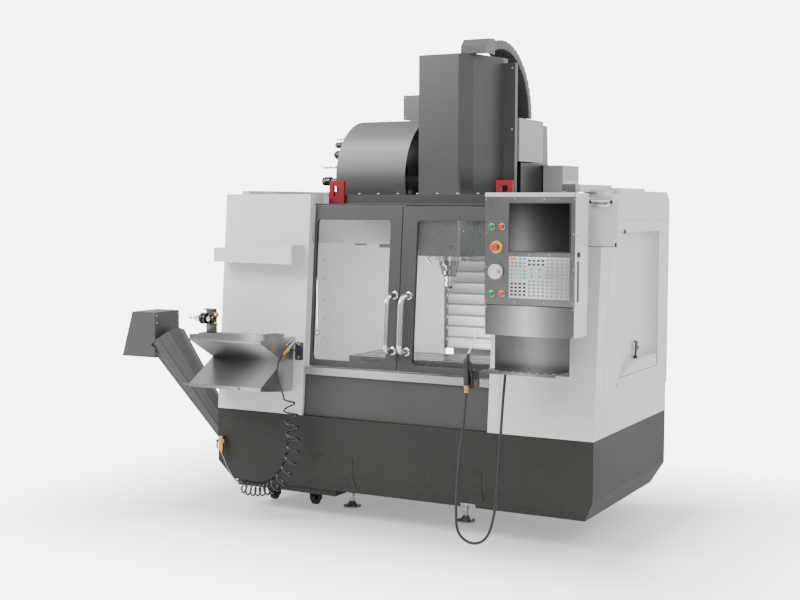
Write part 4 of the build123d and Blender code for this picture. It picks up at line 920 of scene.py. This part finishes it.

# %% [markdown]
# Below the head, a telescoping cover keeps chips off the column. It is a stack of sheet slats, each with
# a rolled lower lip that overlaps the one below. One outline with a lip for each slat, carried across
# the width, gives them all.

# %% Way cover


def way_cover(x0, x1, z0, z1, slats=9):
    """Each slat: a face that falls forward, a lip rolled by a half turn, and the next slat's top."""
    pitch = (z1 - z0) / slats
    roll_turn = np.radians(np.linspace(-90, 90, 5))
    lows = z0 + np.arange(slats)[::-1] * pitch
    lip = np.column_stack([1103.4 - 3.2 * np.cos(roll_turn), 3.4 + 3.2 * np.sin(roll_turn[::-1])])
    slat = [np.vstack([[(1112.5, low + pitch - 0.3), (1106.5, low + 12)], lip + (0, low),
        [(1111.5, low + 0.4)]]) for low in lows]
    side = np.vstack([[(1119.5, z0 + 0.5), (1119.5, z1 - 0.5)], *slat])
    ends = np.array([x0, x0 + 1, x1 - 1, x1], float)
    points = np.array([np.column_stack([np.full(len(side), x), side]) for x in ends])
    return surface(points)


cover = assemble("way_cover_slats", None, [(way_cover(915.5, 1354.5, 872, 1469), slat_steel)],
    ["column_way_cover"], 25)
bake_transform(cover)

# %% [markdown]
# The spindle nose is a stepped steel cylinder with two drive keys. It grips a tool holder whose flange
# has a groove, then a collet nut, then an end mill. Everything here turns, so lathe profiles are right.

# %% Spindle
SPINDLE = (1135.0, 690.0, 0.0)
nose = [(57.8, 1690), (57.8, 1402), (56.5, 1400), (46, 1371), (45, 1370), (45, 1349),
    (43.5, 1347), (22, 1345.5)]
flange = [(21, 1344), (31.2, 1336.5), (31.5, 1335.5), (31.5, 1326.5), (26, 1322),
    (26, 1313), (31.5, 1308.5),
          (31.5, 1284), (30, 1282.2), (20, 1282)]
nut = [(20, 1282.5), (20, 1270), (18.5, 1266.3), (9, 1266)]
keys = [plate(16, 16, 7, (1135 + s * 33, 690, 1345.5), np.array([[1, 0, 0], [0, -1, 0], [0, 0, -1]]), 2,
    1) for s in (-1, 1)]
assemble("spindle_nose", "spindle", [
    (turned(nose, SPINDLE, sides=64), nose_steel), (joined(*keys), dark_steel),
    (turned(flange, SPINDLE, sides=48), chrome), (turned(nut, SPINDLE, sides=36), dark_steel),
    (fluted(8, 17.8, (1135, 690, 1266.2), (0, 0, -1), 4, 0.1, 0.25), bright_steel),
], ["spindle"])

# %% [markdown]
# The pendant's face is busy: a membrane keypad in coloured groups, round push buttons with metal collars,
# an emergency stop on a yellow ring, and a hand wheel. The groups are tables of columns, rows and key
# sizes. The keys carry no lettering.

# %% Pendant face
FACE_Y = -250.0


def face_plate(x0, x1, z0, z1, rise, out=0.0, corner=2.0, edge=0.8):
    return plate(x1 - x0, z1 - z0, rise, ((x0 + x1) / 2, FACE_Y - out, (z0 + z1) / 2), FRONT, corner, edge)


def key_block(columns, rows, width=14.0, height=10.0, corner=1.5):
    """One key copied to every crossing of the columns and rows."""
    key = plate(width, height, 1.6, (0, 0, 0), FRONT, corner, 0.6, 3)
    spots = [(x, FACE_Y - 2.8, z) for x in columns for z in rows]
    return repeated(key, spots)


LEFT_COLUMNS = (1935, 1956, 1978, 2001)
MID_COLUMNS = (2027, 2050, 2073, 2096)
RIGHT_COLUMNS = (2118, 2141, 2168, 2192, 2215)
assemble("keypad", "pendant", [
    (face_plate(1920, 2232, 1299, 1499, 3.0, 0.0, 3), keypad_steel),
    (key_block((1940.5,), (1490.0,), 35, 10), key_orange),
    (key_block((1978, 2001), (1490.0,)), key_teal),
    (key_block(LEFT_COLUMNS, (1470.0, 1454.0)), key_grey),
    (key_block((1933, 2001), (1433.0, 1416.0, 1399.0), 13, 12, 5.9), key_teal),
    (key_block((1952, 1967, 1983), (1433.0, 1416.0, 1399.0), 8, 7, 3), key_grey),
    (key_block(LEFT_COLUMNS, (1369.0, 1351.0, 1333.0, 1316.0)), key_dark),
    (key_block(MID_COLUMNS, (1482.0, 1463.0)), key_dark),
    (key_block((2039, 2079), (1439.0, 1406.0), 13, 13, 6.4), key_teal),
    (key_block((2039, 2059, 2079), (1422.5,), 6, 6, 2.9), key_grey),
    (key_block(MID_COLUMNS, (1383.0, 1366.0, 1349.0, 1332.0, 1314.0)), key_grey),
    (key_block(RIGHT_COLUMNS, (1486.0, 1469.0, 1452.0, 1435.0, 1418.0, 1401.0), 13, 9), key_grey),
    (key_block(RIGHT_COLUMNS, (1381.0, 1364.0, 1347.0, 1330.0, 1312.0), 13, 9), key_grey),
])
assemble("screen_bezel", "pendant", [
    (joined(face_plate(1916, 1921.5, 1521, 1760, 3.4), face_plate(2229.5, 2235, 1521, 1760, 3.4),
            face_plate(1921.5, 2229.5, 1754.5, 1760, 3.4),
            face_plate(1921.5, 2229.5, 1521, 1526.5, 3.4)), black_plastic),
])
collar = [(10.2, 0.0), (16.5, 0.0), (16.5, 2.2), (15, 3.8), (13.6, 4.2), (13.6, 4.7), (10.2, 4.7)]
spots = [(1827, FACE_Y, 1642), (1882, FACE_Y, 1643), (1828, FACE_Y, 1316), (1883, FACE_Y, 1317)]
assemble("button_collars", "pendant", [
    (repeated(turned(collar, (0, 0, 0), (0, -1, 0), 32, ring=True), spots), bright_steel),
    (turned([(10.8, 4.2), (17, 4.2), (17, 12), (15, 14), (10.8, 14)], (1853, FACE_Y, 1544), (0, -1, 0), 36,
    ring=True), black_plastic),
])
wheel = [(8, 4.2), (35.8, 4.2), (37, 6), (37, 21), (35.5, 24.5), (33.4, 26), (31, 25.6), (29.5, 22.5),
    (26, 21.6), (15.5, 21.4),
         (14, 23.5), (12, 25.6), (5, 26)]
dimple = [(10.5, 21.7), (8.6, 24.6), (6, 25.6), (2, 25.9)]
assemble("jog_hand_wheel", "jog_wheel", [
    (turned(wheel, (1854, FACE_Y, 1425), (0, -1, 0), 64), white_cap),
    (turned([(7.9, -13.5), (7.9, 4.4)], (1854, FACE_Y, 1425), (0, -1, 0), 24), zinc),
    (turned(dimple, (1877, FACE_Y, 1425), (0, -1, 0), 20), key_grey),
], ["jog_wheel"])

# %% [markdown]
# Screws are what tell the eye how big a sheet-metal machine is. Each is a low dome with a socket, and a
# row of them is one mesh. They sit on the pendant's plates, the head's flange, the header, the folded
# covers, the shelf, the chute's hood, the left service box and the splash walls.

# %% Screws
TO_FRONT, TO_RIGHT, UPWARD = (0, -1, 0), (1, 0, 0), (0, 0, 1)
PLATE_SCREWS = [
    (1797, 1774), (1798, 1610), (1799, 1447), (1799, 1281), (1799, 1254), (1798, 1122),
    (1951, 1120), (2103, 1118),
    (2249, 1122), (2250, 1281), (2250, 1445), (2250, 1610), (2250, 1775), (2099, 1776),
    (1950, 1777), (2027, 1509),
    (2130, 1510), (1950, 1278), (2104, 1279), (2249, 1252),
]
assemble("pendant_screws", "pendant", [
    (screws([(x, FACE_Y, z) for x, z in PLATE_SCREWS], TO_FRONT, 0.95), zinc),
    (screws([(2257, y, z)
    for y, z in ((-205, 1748), (-186, 1748), (-206, 1706), (-206, 1688), (-186, 1566), (-208, 1260))],
            TO_RIGHT, 0.7), zinc),
])
assemble("head_screws", "head", [
    (screws([(1441, 870, z) for z in (2528, 2181, 1860)], TO_FRONT, 1.9), zinc),
])
HEADER_BOLTS = [(640 + 122 * k, 306, 1806.6) for k in range(9)]
assemble("header_bolts", "machine", [(screws(HEADER_BOLTS, UPWARD, 1.8, 14), zinc)])
assemble("wall_bolts", "machine", [
    (screws([(905, 1100, z) for z in (1205, 1108, 1006, 906)], TO_FRONT, 1.5), black_plastic),
    (screws([(356, 1100, 1076), (357, 1100, 901), (1620, 1100, 1076), (1620, 1100, 901)], TO_FRONT,
    1.0), dark_steel),
    (screws([(63, y, z) for y in (1060,) for z in (1394, 1272, 1138, 1020, 897)], TO_RIGHT,
    1.2), dark_steel),
])
assemble("shelf_screws", "machine", [
    (screws([(-2, -80, 756), (-2, -250, 756)], UPWARD, 1.2), zinc),
    (screws([(77, -234, 1023), (142, -234, 1023)], UPWARD, 1.8), zinc),
])
assemble("hood_screws", "machine", [
    (screws([(-489, y, z) for y in (60, 260) for z in (1088, 1043, 860)], TO_RIGHT, 1.3), zinc),
    (screws([(667, 1014, z) for z in (2276, 2392)], (-1, 0, 0), 1.3), zinc),
    (screws([(683, 1000, z) for z in (2276, 2392)], TO_FRONT, 1.3), zinc),
])

# %% [markdown]
# Sheets meet in thin dark joints, and covers sit over an opening with a shadow all round. A joint is a
# strip a fraction of a millimetre proud, wide enough to read as a gap. The side seams follow the lean
# of the front, so they are made upright and then pushed back by the same function. A brush closes the
# gap over the doors, and dark blocks stand in the tray's slots as painted shade, a little below its
# rising top.

# %% Seams and trims


def framed(x0, x1, z0, z1, y, width, finish):
    """Four strips round a rectangle on the front."""
    tall = [plate(width, z1 - z0, 0.5, (x, y, (z0 + z1) / 2), FRONT, 0.3, 0.1, 2) for x in (x0, x1)]
    flat = [plate(x1 - x0 + width, width, 0.5, ((x0 + x1) / 2, y, z), FRONT, 0.3, 0.1, 2) for z in (z0, z1)]
    return joined(*tall, *flat), finish


side_seams = [leaned(plate(1.8, 1221, 0.4, (x, 130, 1193.5), facing, 0.3, 0.1, 2))
    for x, facing in ((WIDTH, RIGHT), (0, LEFT))]
top_seam = plate(920, 1.8, 0.4, (WIDTH, 722, 1668), RIGHT, 0.3, 0.1, 2)
base_gap = plate(WIDTH - 2, 2.2, 0.5, (WIDTH / 2, -0.1, 581.5), FRONT, 0.3, 0.1, 2)
side_gaps = [plate(DEPTH - 2, 2.2, 0.5, (x, DEPTH / 2, 581.5), facing, 0.3, 0.1, 2)
    for x, facing in ((WIDTH, RIGHT), (0, LEFT))]
covers = [framed(x0, x1, 279, 370, -0.4, 2.4, black_plastic) for x0, x1 in ((606, 896), (1356, 1667))]
assemble("panel_seams", "machine",
    [(joined(*side_seams, top_seam), key_grey), (joined(base_gap, *side_gaps), black_plastic), *covers])
brush = joined(*[plate(1117, 4.2, 3, (1133.5, lean(1744) + 44, 1743.7), FRONT, 1, 0.4, 2)])
# Painted shade: a dark block fills each of the tray's slots from 22 mm below the tray's top up to it.
TRAY_SLOTS, FIRST_SLOT, SLOT_PITCH = 6, 62, 82
slot_shade_x = FIRST_SLOT + SLOT_PITCH * np.arange(TRAY_SLOTS)
slot_shade_blocks = []
for x in slot_shade_x:
    top = 1498.4 + 20.5 * max(0, (x - 288) / 247) ** 0.9
    outline = np.array([(x, -19.6), (x + 34, -19.6), (x + 58, 51.6), (x + 24, 51.6)])
    rings = [np.column_stack([outline, np.full(4, z)]) for z in (top - 22, top)]
    slot_shade_blocks.append(surface(np.array(rings)))
assemble("dark_gaps", "machine", [(joined(brush, *slot_shade_blocks), black_plastic)])
eyelet = turned([(7.2, -0.2), (9.6, -0.2), (9.6, 0.9), (8.9, 1.5), (7.2, 1.5)], (0, 0, 0),
    (0, 0, 1), 20, ring=True)
assemble("shelf_eyelets", "pendant", [
    (repeated(eyelet, [(1816 + 42 * k, -236, 938.2) for k in range(9)]), zinc),
    (plate(456, 2.4, 0.5, (2024, -250, 1264), FRONT, 0.3, 0.1, 2), black_plastic),
])
wipers = [plate(18, 600, 3, (x, 1098.6, 1168), FRONT, 1, 0.5, 2) for x in (912, 1358)]
assemble("wall_wipers", "machine", [(joined(*wipers), rubber)])
CHANNEL_ENDS = [(29, 250, 1815.6, 54, 20.6), (2241, 360, 1820.4, 54, 30.8), (2241, 760.5, 1829, 54, 13)]
assemble("channel_caps", "machine", [
    (joined(*[plate(w, h, 1.2, (x, y, z), FRONT, 1, 0.4, 3)
    for x, y, z, w, h in CHANNEL_ENDS]), white_paint),
])

# %% [markdown]
# A few folded edges and fittings finish the outside. The work shelf's plate has a raised rim that
# follows its bow and turns the right corner. The pendant has a pale strip over its steel face.
# The recess on the right side has a rounded rail and a ledge.

# %% Rim, strip and rail


def rim():
    """A folded band: the bow's arc, a quarter turn and a short straight, with its height at each point."""
    bow_x = np.linspace(29, 415, 24)
    bow_y = -300 - 10 * (1 - ((bow_x - 270) / 241) ** 2)
    turn = np.radians(np.linspace(-82, 0, 12))
    corner = np.column_stack([417 + 86 * np.cos(turn) - 6, -222 + 86 * np.sin(turn)])
    line = np.vstack([np.column_stack([bow_x, bow_y]), corner, [(497.5, -160), (497.5, -90), (497.5, -62)]])
    top = np.interp(line[:, 0], [29, 285], [1035, 1052])
    top[-3:] = (1050, 1042, 1038)
    heading = np.gradient(line, axis=0)
    heading /= np.linalg.norm(heading, axis=1, keepdims=True)
    inwards = np.column_stack([-heading[:, 1], heading[:, 0]])
    section = [(0, 0), (0, 1), (1.6, 1), (1.6, 0)]
    points = [np.column_stack([line + inwards * depth, 1012.5 + (top - 1012.5) * share])
        for depth, share in section]
    return surface(np.stack(points, 1))


assemble("shelf_rim", "machine", [(rim(), rim_steel)])
assemble("pendant_top_strip", "pendant", [
    (plate(464, 20, 1.4, (2023, FACE_Y, 1797), FRONT, 1, 0.4), light_grey_paint),
])
rail = carried(circle(7, 16),
    np.column_stack([np.full(12, 2263.0), np.linspace(440, 1030, 12), np.full(12, 1612.0)]), (1, 0, 0))
ledge = plate(400, 34, 5, (2266, 775, 908), RIGHT, 3, 1)
assemble("recess_rail", "machine", [(joined(rail, ledge), white_paint)])

# %% [markdown]
# On the shelf stands a clamping fixture that holds one tapered tool holder on its side. The holder is
# ground steel: a long taper, a black flange with its groove, and the pull stud that the spindle grips.
# Each turned part is one lathe profile; the fixture's sheets are plates with rounded edges.

# %% Tool stand
STAND_Y, STAND_Z = -205.0, 1115.0
stand_paint = plain_metal("fixture_steel", rgb(0.16, 0.16, 0.155), 0.38)
clamp = [(20.2, 0), (28.6, 0), (30, 1.4), (30, 12.6), (28.6, 14), (20.2, 14)]
taper = [(4.6, -39), (8.4, -38.6), (9, -37.6), (9, -30.4), (8.2, -29.2), (5, -28.6), (5, -3), (12.4, -1),
    (21.8, 44.6), (21.8, 45.2)]
flange = [(22, 45), (30.6, 45), (31.4, 46), (31.4, 50), (27.4, 52.6), (27.4, 55), (31.4, 57.4),
    (31.4, 60.2), (30.6, 61), (19.6, 61)]
shank = [(19.6, 60.5), (19.6, 84), (17.6, 85), (17.6, 97), (19.6, 98), (19.6, 130), (17.6, 134.6), (9, 135)]
copper_knob = [(11.4, 0), (13.6, 1.6), (14, 3), (14, 13), (12.6, 16), (9, 17), (4, 17.2)]
middle = (0, STAND_Y, STAND_Z)
assemble("tool_stand_fixture", "machine", [
    (joined(plate(110, 84, 24, (105, -208, 1015), TOP, 5, 1.2),
    plate(70, 130, 8, (84, -166, 1104), FRONT, 3, 1),
            plate(76, 24, 8, (81, -178, 1161), TOP, 3, 1),
            plate(14, 36, 16, (66, -172, STAND_Z), FRONT, 3, 1),
            plate(14, 36, 16, (102, -172, STAND_Z), FRONT, 3, 1)), stand_paint),
    (joined(*[turned(clamp, (x, STAND_Y, STAND_Z), TO_RIGHT, 40, ring=True)
    for x in (66, 102)]), dark_steel),
    (turned(taper, middle, TO_RIGHT, 40), chrome), (turned(flange, middle, TO_RIGHT, 40), dark_steel),
    (turned(shank, middle, TO_RIGHT, 40), dark_steel),
    (turned(copper_knob, (135, STAND_Y, STAND_Z + 22), TO_RIGHT, 28), copper),
    (joined(plate(11, 30, 6, (135.5, STAND_Y, STAND_Z + 12), RIGHT, 4, 1),
    plate(54, 18, 6, (123, STAND_Y, STAND_Z - 34), TOP, 5, 1)), black_plastic),
    (turned([(8, 0), (9, 1), (9, 8), (7, 10.5), (3, 11)], (137, STAND_Y - 1, STAND_Z - 28),
    UPWARD, 24), acid_green),
    (turned([(11, 0), (12, 1), (12, 5), (10, 6), (5, 6)], (112, STAND_Y - 30, STAND_Z),
    TO_FRONT, 24), chrome),
], ["tool_stand"])

# %% [markdown]
# The blow gun hangs on a hook plate beside the door. Its own directions, along the grip and across it,
# place every part: a brass hose fitting with a hexagon, a rounded grip, a head and a short nozzle.

# %% Blow gun
foot = np.array([530.0, -122.0, 930.0])
grip_up = np.array([40.0, 67.0, 75.0]) / np.linalg.norm([40.0, 67.0, 75.0])
grip_side = np.array([1.0, -0.6, 0.0])
grip_side -= grip_up * (grip_side @ grip_up)
grip_side /= np.linalg.norm(grip_side)
grip_over = np.cross(grip_up, grip_side)
ALONG_GRIP = np.array([grip_side, grip_over, grip_up])
fitting = [(5.4, 0), (7.6, 0.6), (8, 1.6), (8, 6), (6.6, 7), (6.6, 8.6), (8, 9.6), (8, 14), (6.6, 15),
    (6.6, 16.6), (8, 17.6), (8, 24)]
hexagon = [(9.4, 0), (11, 1.2), (11, 11.8), (9.4, 13)]
nozzle = [(5, 0), (5, 6), (4.2, 7), (4.2, 22), (3, 25), (1.6, 26)]
hook = leaned(plate(52, 99, 5, (536, 0, 935.5), FRONT, 6, 1.2))
hook_arm = joined(plate(16, 6, 64 + lean(947) - 5, (538, lean(947) - 4, 947), FRONT, 1.5, 0.5),
    plate(16, 18, 6, (538, -64, 953), FRONT, 1.5, 0.5))
blow_gun = assemble("blow_gun", "machine", [
    (joined(turned(fitting, foot, grip_up, 28), turned(hexagon, foot + grip_up * 24, grip_up, 6)), brass),
    (joined(plate(18, 20, 60, foot + grip_up * 36.5, ALONG_GRIP, 7, 2.4),
    plate(22, 34, 20, foot + grip_up * 93 + grip_over * 4, ALONG_GRIP, 8, 4)), bright_steel),
    (turned(nozzle, foot + grip_side * 9 + grip_up * 103, grip_side, 24), chrome),
], ["air_gun"])
assemble("gun_hook", "machine", [
    (joined(hook, hook_arm), black_plastic),
    (joined(*[leaned(turned(np.array(SCREW) * 1.5, (536, -5, z), TO_FRONT, 12))
    for z in (902, 972)]), zinc),
], ["air_gun"])

# %% [markdown]
# The wash gun stands upright beside the pendant's shelf: a black pistol body on a brass fitting, and a
# long bright wand. The body is a stack of rounded outlines whose size and middle change with height.

# %% Wash gun


def stacked(stations, corner=7.0):
    """Rounded rectangles one above the other: each row is height, middle x, width and depth."""
    rings = [np.column_stack([round_rectangle(w, d, min(corner, w / 2.2, d / 2.2)) + (x,
        -285.0), np.full(20, z)])
             for z, x, w, d in stations]
    return surface(np.array(rings))


grip = [(862, 1712, 18, 18), (863, 1712, 22, 22), (866, 1712, 24, 25), (888, 1712, 23, 24),
    (892, 1712, 26, 28), (930, 1712, 26, 28),
        (952, 1712.4, 27.5, 29), (978, 1713.5, 27, 28), (986, 1714.5, 25, 25), (1000, 1718, 18, 18),
        (1012, 1721.5, 15, 15), (1020, 1723, 13, 13)]
wand_up = np.array([math.sin(math.radians(24)), 0, math.cos(math.radians(24))])
wand_foot = np.array([1722.0, -285.0, 1018.0])
wand = [(6.4, -6), (6.4, 5), (5, 7), (5, 108), (5.6, 109), (5.6, 117), (4, 118)]
collar = [(8, 0), (11.4, 0.6), (12, 2), (12, 8), (9.4, 9.4), (9.4, 12), (11, 13.2), (11, 20)]
assemble("wash_gun_pistol", "pendant", [
    (stacked(grip), black_plastic), (turned(wand, wand_foot, wand_up, 24), chrome),
    (screws([(1712, -299, 940)], TO_FRONT, 1.0), dark_steel),
], ["wash_gun"])
wash_fitting = assemble("wash_gun_fitting", "pendant", [
    (joined(turned(collar, (1712, -285, 826), UPWARD, 32),
    turned([(10.4, 0), (12, 1.2), (12, 14.8), (10.4, 16)], (1712, -285, 846), UPWARD, 6)), brass),
], ["wash_gun"])

# %% [markdown]
# Small hardware finishes the right side: a ball knob on a collar, the pivot over the recess, and the
# board's sprung clip, which is a chrome bar between two black caps with a slot behind it.

# %% Small hardware
assemble("ball_knob", "machine", [
    (turned([(6, 0), (9, 0.5), (9, 2), (6.6, 3.4), (6.6, 5), (9.4, 7.4), (11.2, 10.4), (11.8, 13.6),
    (10.8, 17.4), (8.4, 20.8), (4.6, 23), (1.5, 23.6)],
            (2270, 343, 825), TO_RIGHT, 32), chrome),
    (turned([(8, -0.4), (13, 0), (13, 2), (11, 3), (9, 5), (4, 5.4)], (2270, 433, 1613),
    TO_RIGHT, 28), dark_steel),
])
assemble("clip_bar", "document_clip", [
    (joined(turned([(4.6, 0), (5.2, 0.6), (5.2, 93.4), (4.6, 94)], (2250, -17, 1766), TO_RIGHT, 24),
    plate(96, 26, 3, (2297, -12, 1751), FRONT, 3, 1)), chrome),
    (joined(*[turned([(5.4, 0), (7.2, 0.6), (8, 2), (8, 10), (7, 11.6), (3, 12)], (x, -16, 1763), TO_RIGHT,
    24) for x in (2238.5, 2343.5)],
            plate(76, 4, 0.8, (2297, -14.8, 1757), FRONT, 1, 0.3)), black_plastic),
], ["document_clip"])
edge = np.array([(2224 + 151 * k / 24, 6 - 14 * math.sin(math.pi * k / 24) - 1.1) for k in range(25)])
assemble("board_edging", "machine", [
    (carried(round_rectangle(2.6, 5, 1, 0, 3), np.column_stack([edge, np.full(25, 1546.5)]),
    (0, 0, 1)), key_grey),
    (joined(plate(9, 20, 2, (2369, 4, 1556), FRONT, 1, 0.5),
    plate(3, 232, 1, (2225, 5.2, 1661), FRONT, 1, 0.3)), black_plastic),
])
assemble("pendant_ports", "pendant", [
    (joined(turned([(4, 0), (11, 0), (13, 1.5), (13, 7), (11, 9), (5, 9.5)], (2257, -208, 1512), TO_RIGHT,
    28), plate(26, 196, 1.2, (2255.8, -206, 1383.5), RIGHT, 3, 0.4)), black_plastic),
    (turned([(4, 0), (9, 0), (9, 1.6), (6, 2.4), (3, 1)], (2257, -208, 1600), TO_RIGHT, 24), zinc),
])
assemble("tool_changer_fittings", "machine", [
    (plate(180, 26, 8, (490, 800, 1523), UNDER, 3, 1), zinc),
    (joined(plate(70, 30, 12, (486, 798, 1515), UNDER, 3, 1),
    plate(110, 60, 24, (800, 590, 1523), UNDER, 4, 1.5)), black_plastic),
])

# %% [markdown]
# The stage is a plain pale floor under soft studio light. The sky's light grows with height and has
# tall pale and dark bands, as a studio with softboxes and flags does, so that upright metal has
# something to mirror. Seen directly, the sky is one even white. The floor gives off light too, most
# where the camera sees it, and less of it near the machine: a painted shadow that keeps the ground
# under the machine dark. Two softboxes give the panels a direction, and two lamps inside light the
# work area as the machine's own lamps do.

# %% Stage
FLOOR_SIZE, FLOOR_HEIGHT = 14, -0.0015
FLOOR_GLOW, SKY_SEEN = 5.2, 6.5
floor_mesh = bpy.data.meshes.new("floor")
floor_signs = ((-1, -1), (1, -1), (1, 1), (-1, 1))
floor_corners = [(x * FLOOR_SIZE, y * FLOOR_SIZE, FLOOR_HEIGHT) for x, y in floor_signs]
floor_mesh.from_pydata(floor_corners, [], [(0, 1, 2, 3)])
floor = bpy.data.objects.new("floor", floor_mesh)
bpy.context.scene.collection.objects.link(floor)
floor_finish = Finish("floor_paint", Base_Color=rgb(0.8), Emission_Strength=FLOOR_GLOW)
x, y, z = floor_finish.place()
# Painted shadow: where the camera sees it, the floor's light fades out towards the machine's footprint.
beside = (x - 1080).positive(1300)
ahead = (y - 560).positive(640)
clear = ((beside * beside + ahead * ahead) ** 0.5).clamped(-40, 1500)
seen_floor = floor_finish.node("ShaderNodeLightPath", output="Is Camera Ray")
floor_finish.set("Emission Color", floor_finish.mix(seen_floor * clear, rgb(0.04), rgb(1.0)))
floor_finish.set("Roughness", 0.55 + (floor_finish.noise(0.8) - 0.5) * 0.1)
floor_mesh.materials.append(floor_finish.material)


class Studio(Finish):
    """The world's nodes, reached with the same methods as a finish's."""

    def __init__(self, name):
        self.world = bpy.data.worlds.new(name)
        self.world.use_nodes = True
        self.tree = self.world.node_tree
        self.shader = self.tree.nodes["Background"]


studio = Studio("studio")
ray = studio.node("ShaderNodeTexCoord", output="Generated")
across_sky, away_sky, height = [
    studio.node("ShaderNodeSeparateXYZ", None, {0: ray}, axis) for axis in "XYZ"
]
seen = studio.node("ShaderNodeLightPath", output="Is Camera Ray")
behind = (across_sky * 0.55 + away_sky * 0.83).clamped(0.7, 0.97)
wave = across_sky * 11 + away_sky * 4
flags = wave.maths("SINE", wave, 0).clamped(0.25, 0.7)
studio.set("Color", rgb(1.0))
lit = height.clamped(0.05, 0.85) * 1.5 + flags * 1.5 + behind * 1.3 + 0.1
studio.set("Strength", lit * (1 - seen) + seen * SKY_SEEN)
bpy.context.scene.world = studio.world


def softbox(name, at, towards, size, power):
    """A soft rectangular lamp that points from one place to another and isn't seen itself."""
    light = bpy.data.lights.new(name, "AREA")
    light.shape, light.size, light.size_y, light.energy = "RECTANGLE", size[0], size[1], power
    lamp = bpy.data.objects.new(name, light)
    bpy.context.scene.collection.objects.link(lamp)
    lamp.location = at
    lamp.rotation_euler = (Vector(towards) - Vector(at)).to_track_quat("-Z", "Y").to_euler()
    lamp.visible_camera = False
    return lamp


softbox("key", (-3.0, -4.5, 4.5), (0, 0, 1.0), (2.5, 2.5), 340)
softbox("side", (5.5, 1.5, 4.2), (0.5, 0, 1.2), (2.5, 2.5), 60)
softbox("inside", metres((1600, 300, 1700)).tolist(), metres((1500, 900, 900)).tolist(), (0.3, 0.3), 3)
softbox("left_inside", metres((820, 330, 1150)).tolist(), metres((420, 1100, 1050)).tolist(), (0.5, 0.5), 9)
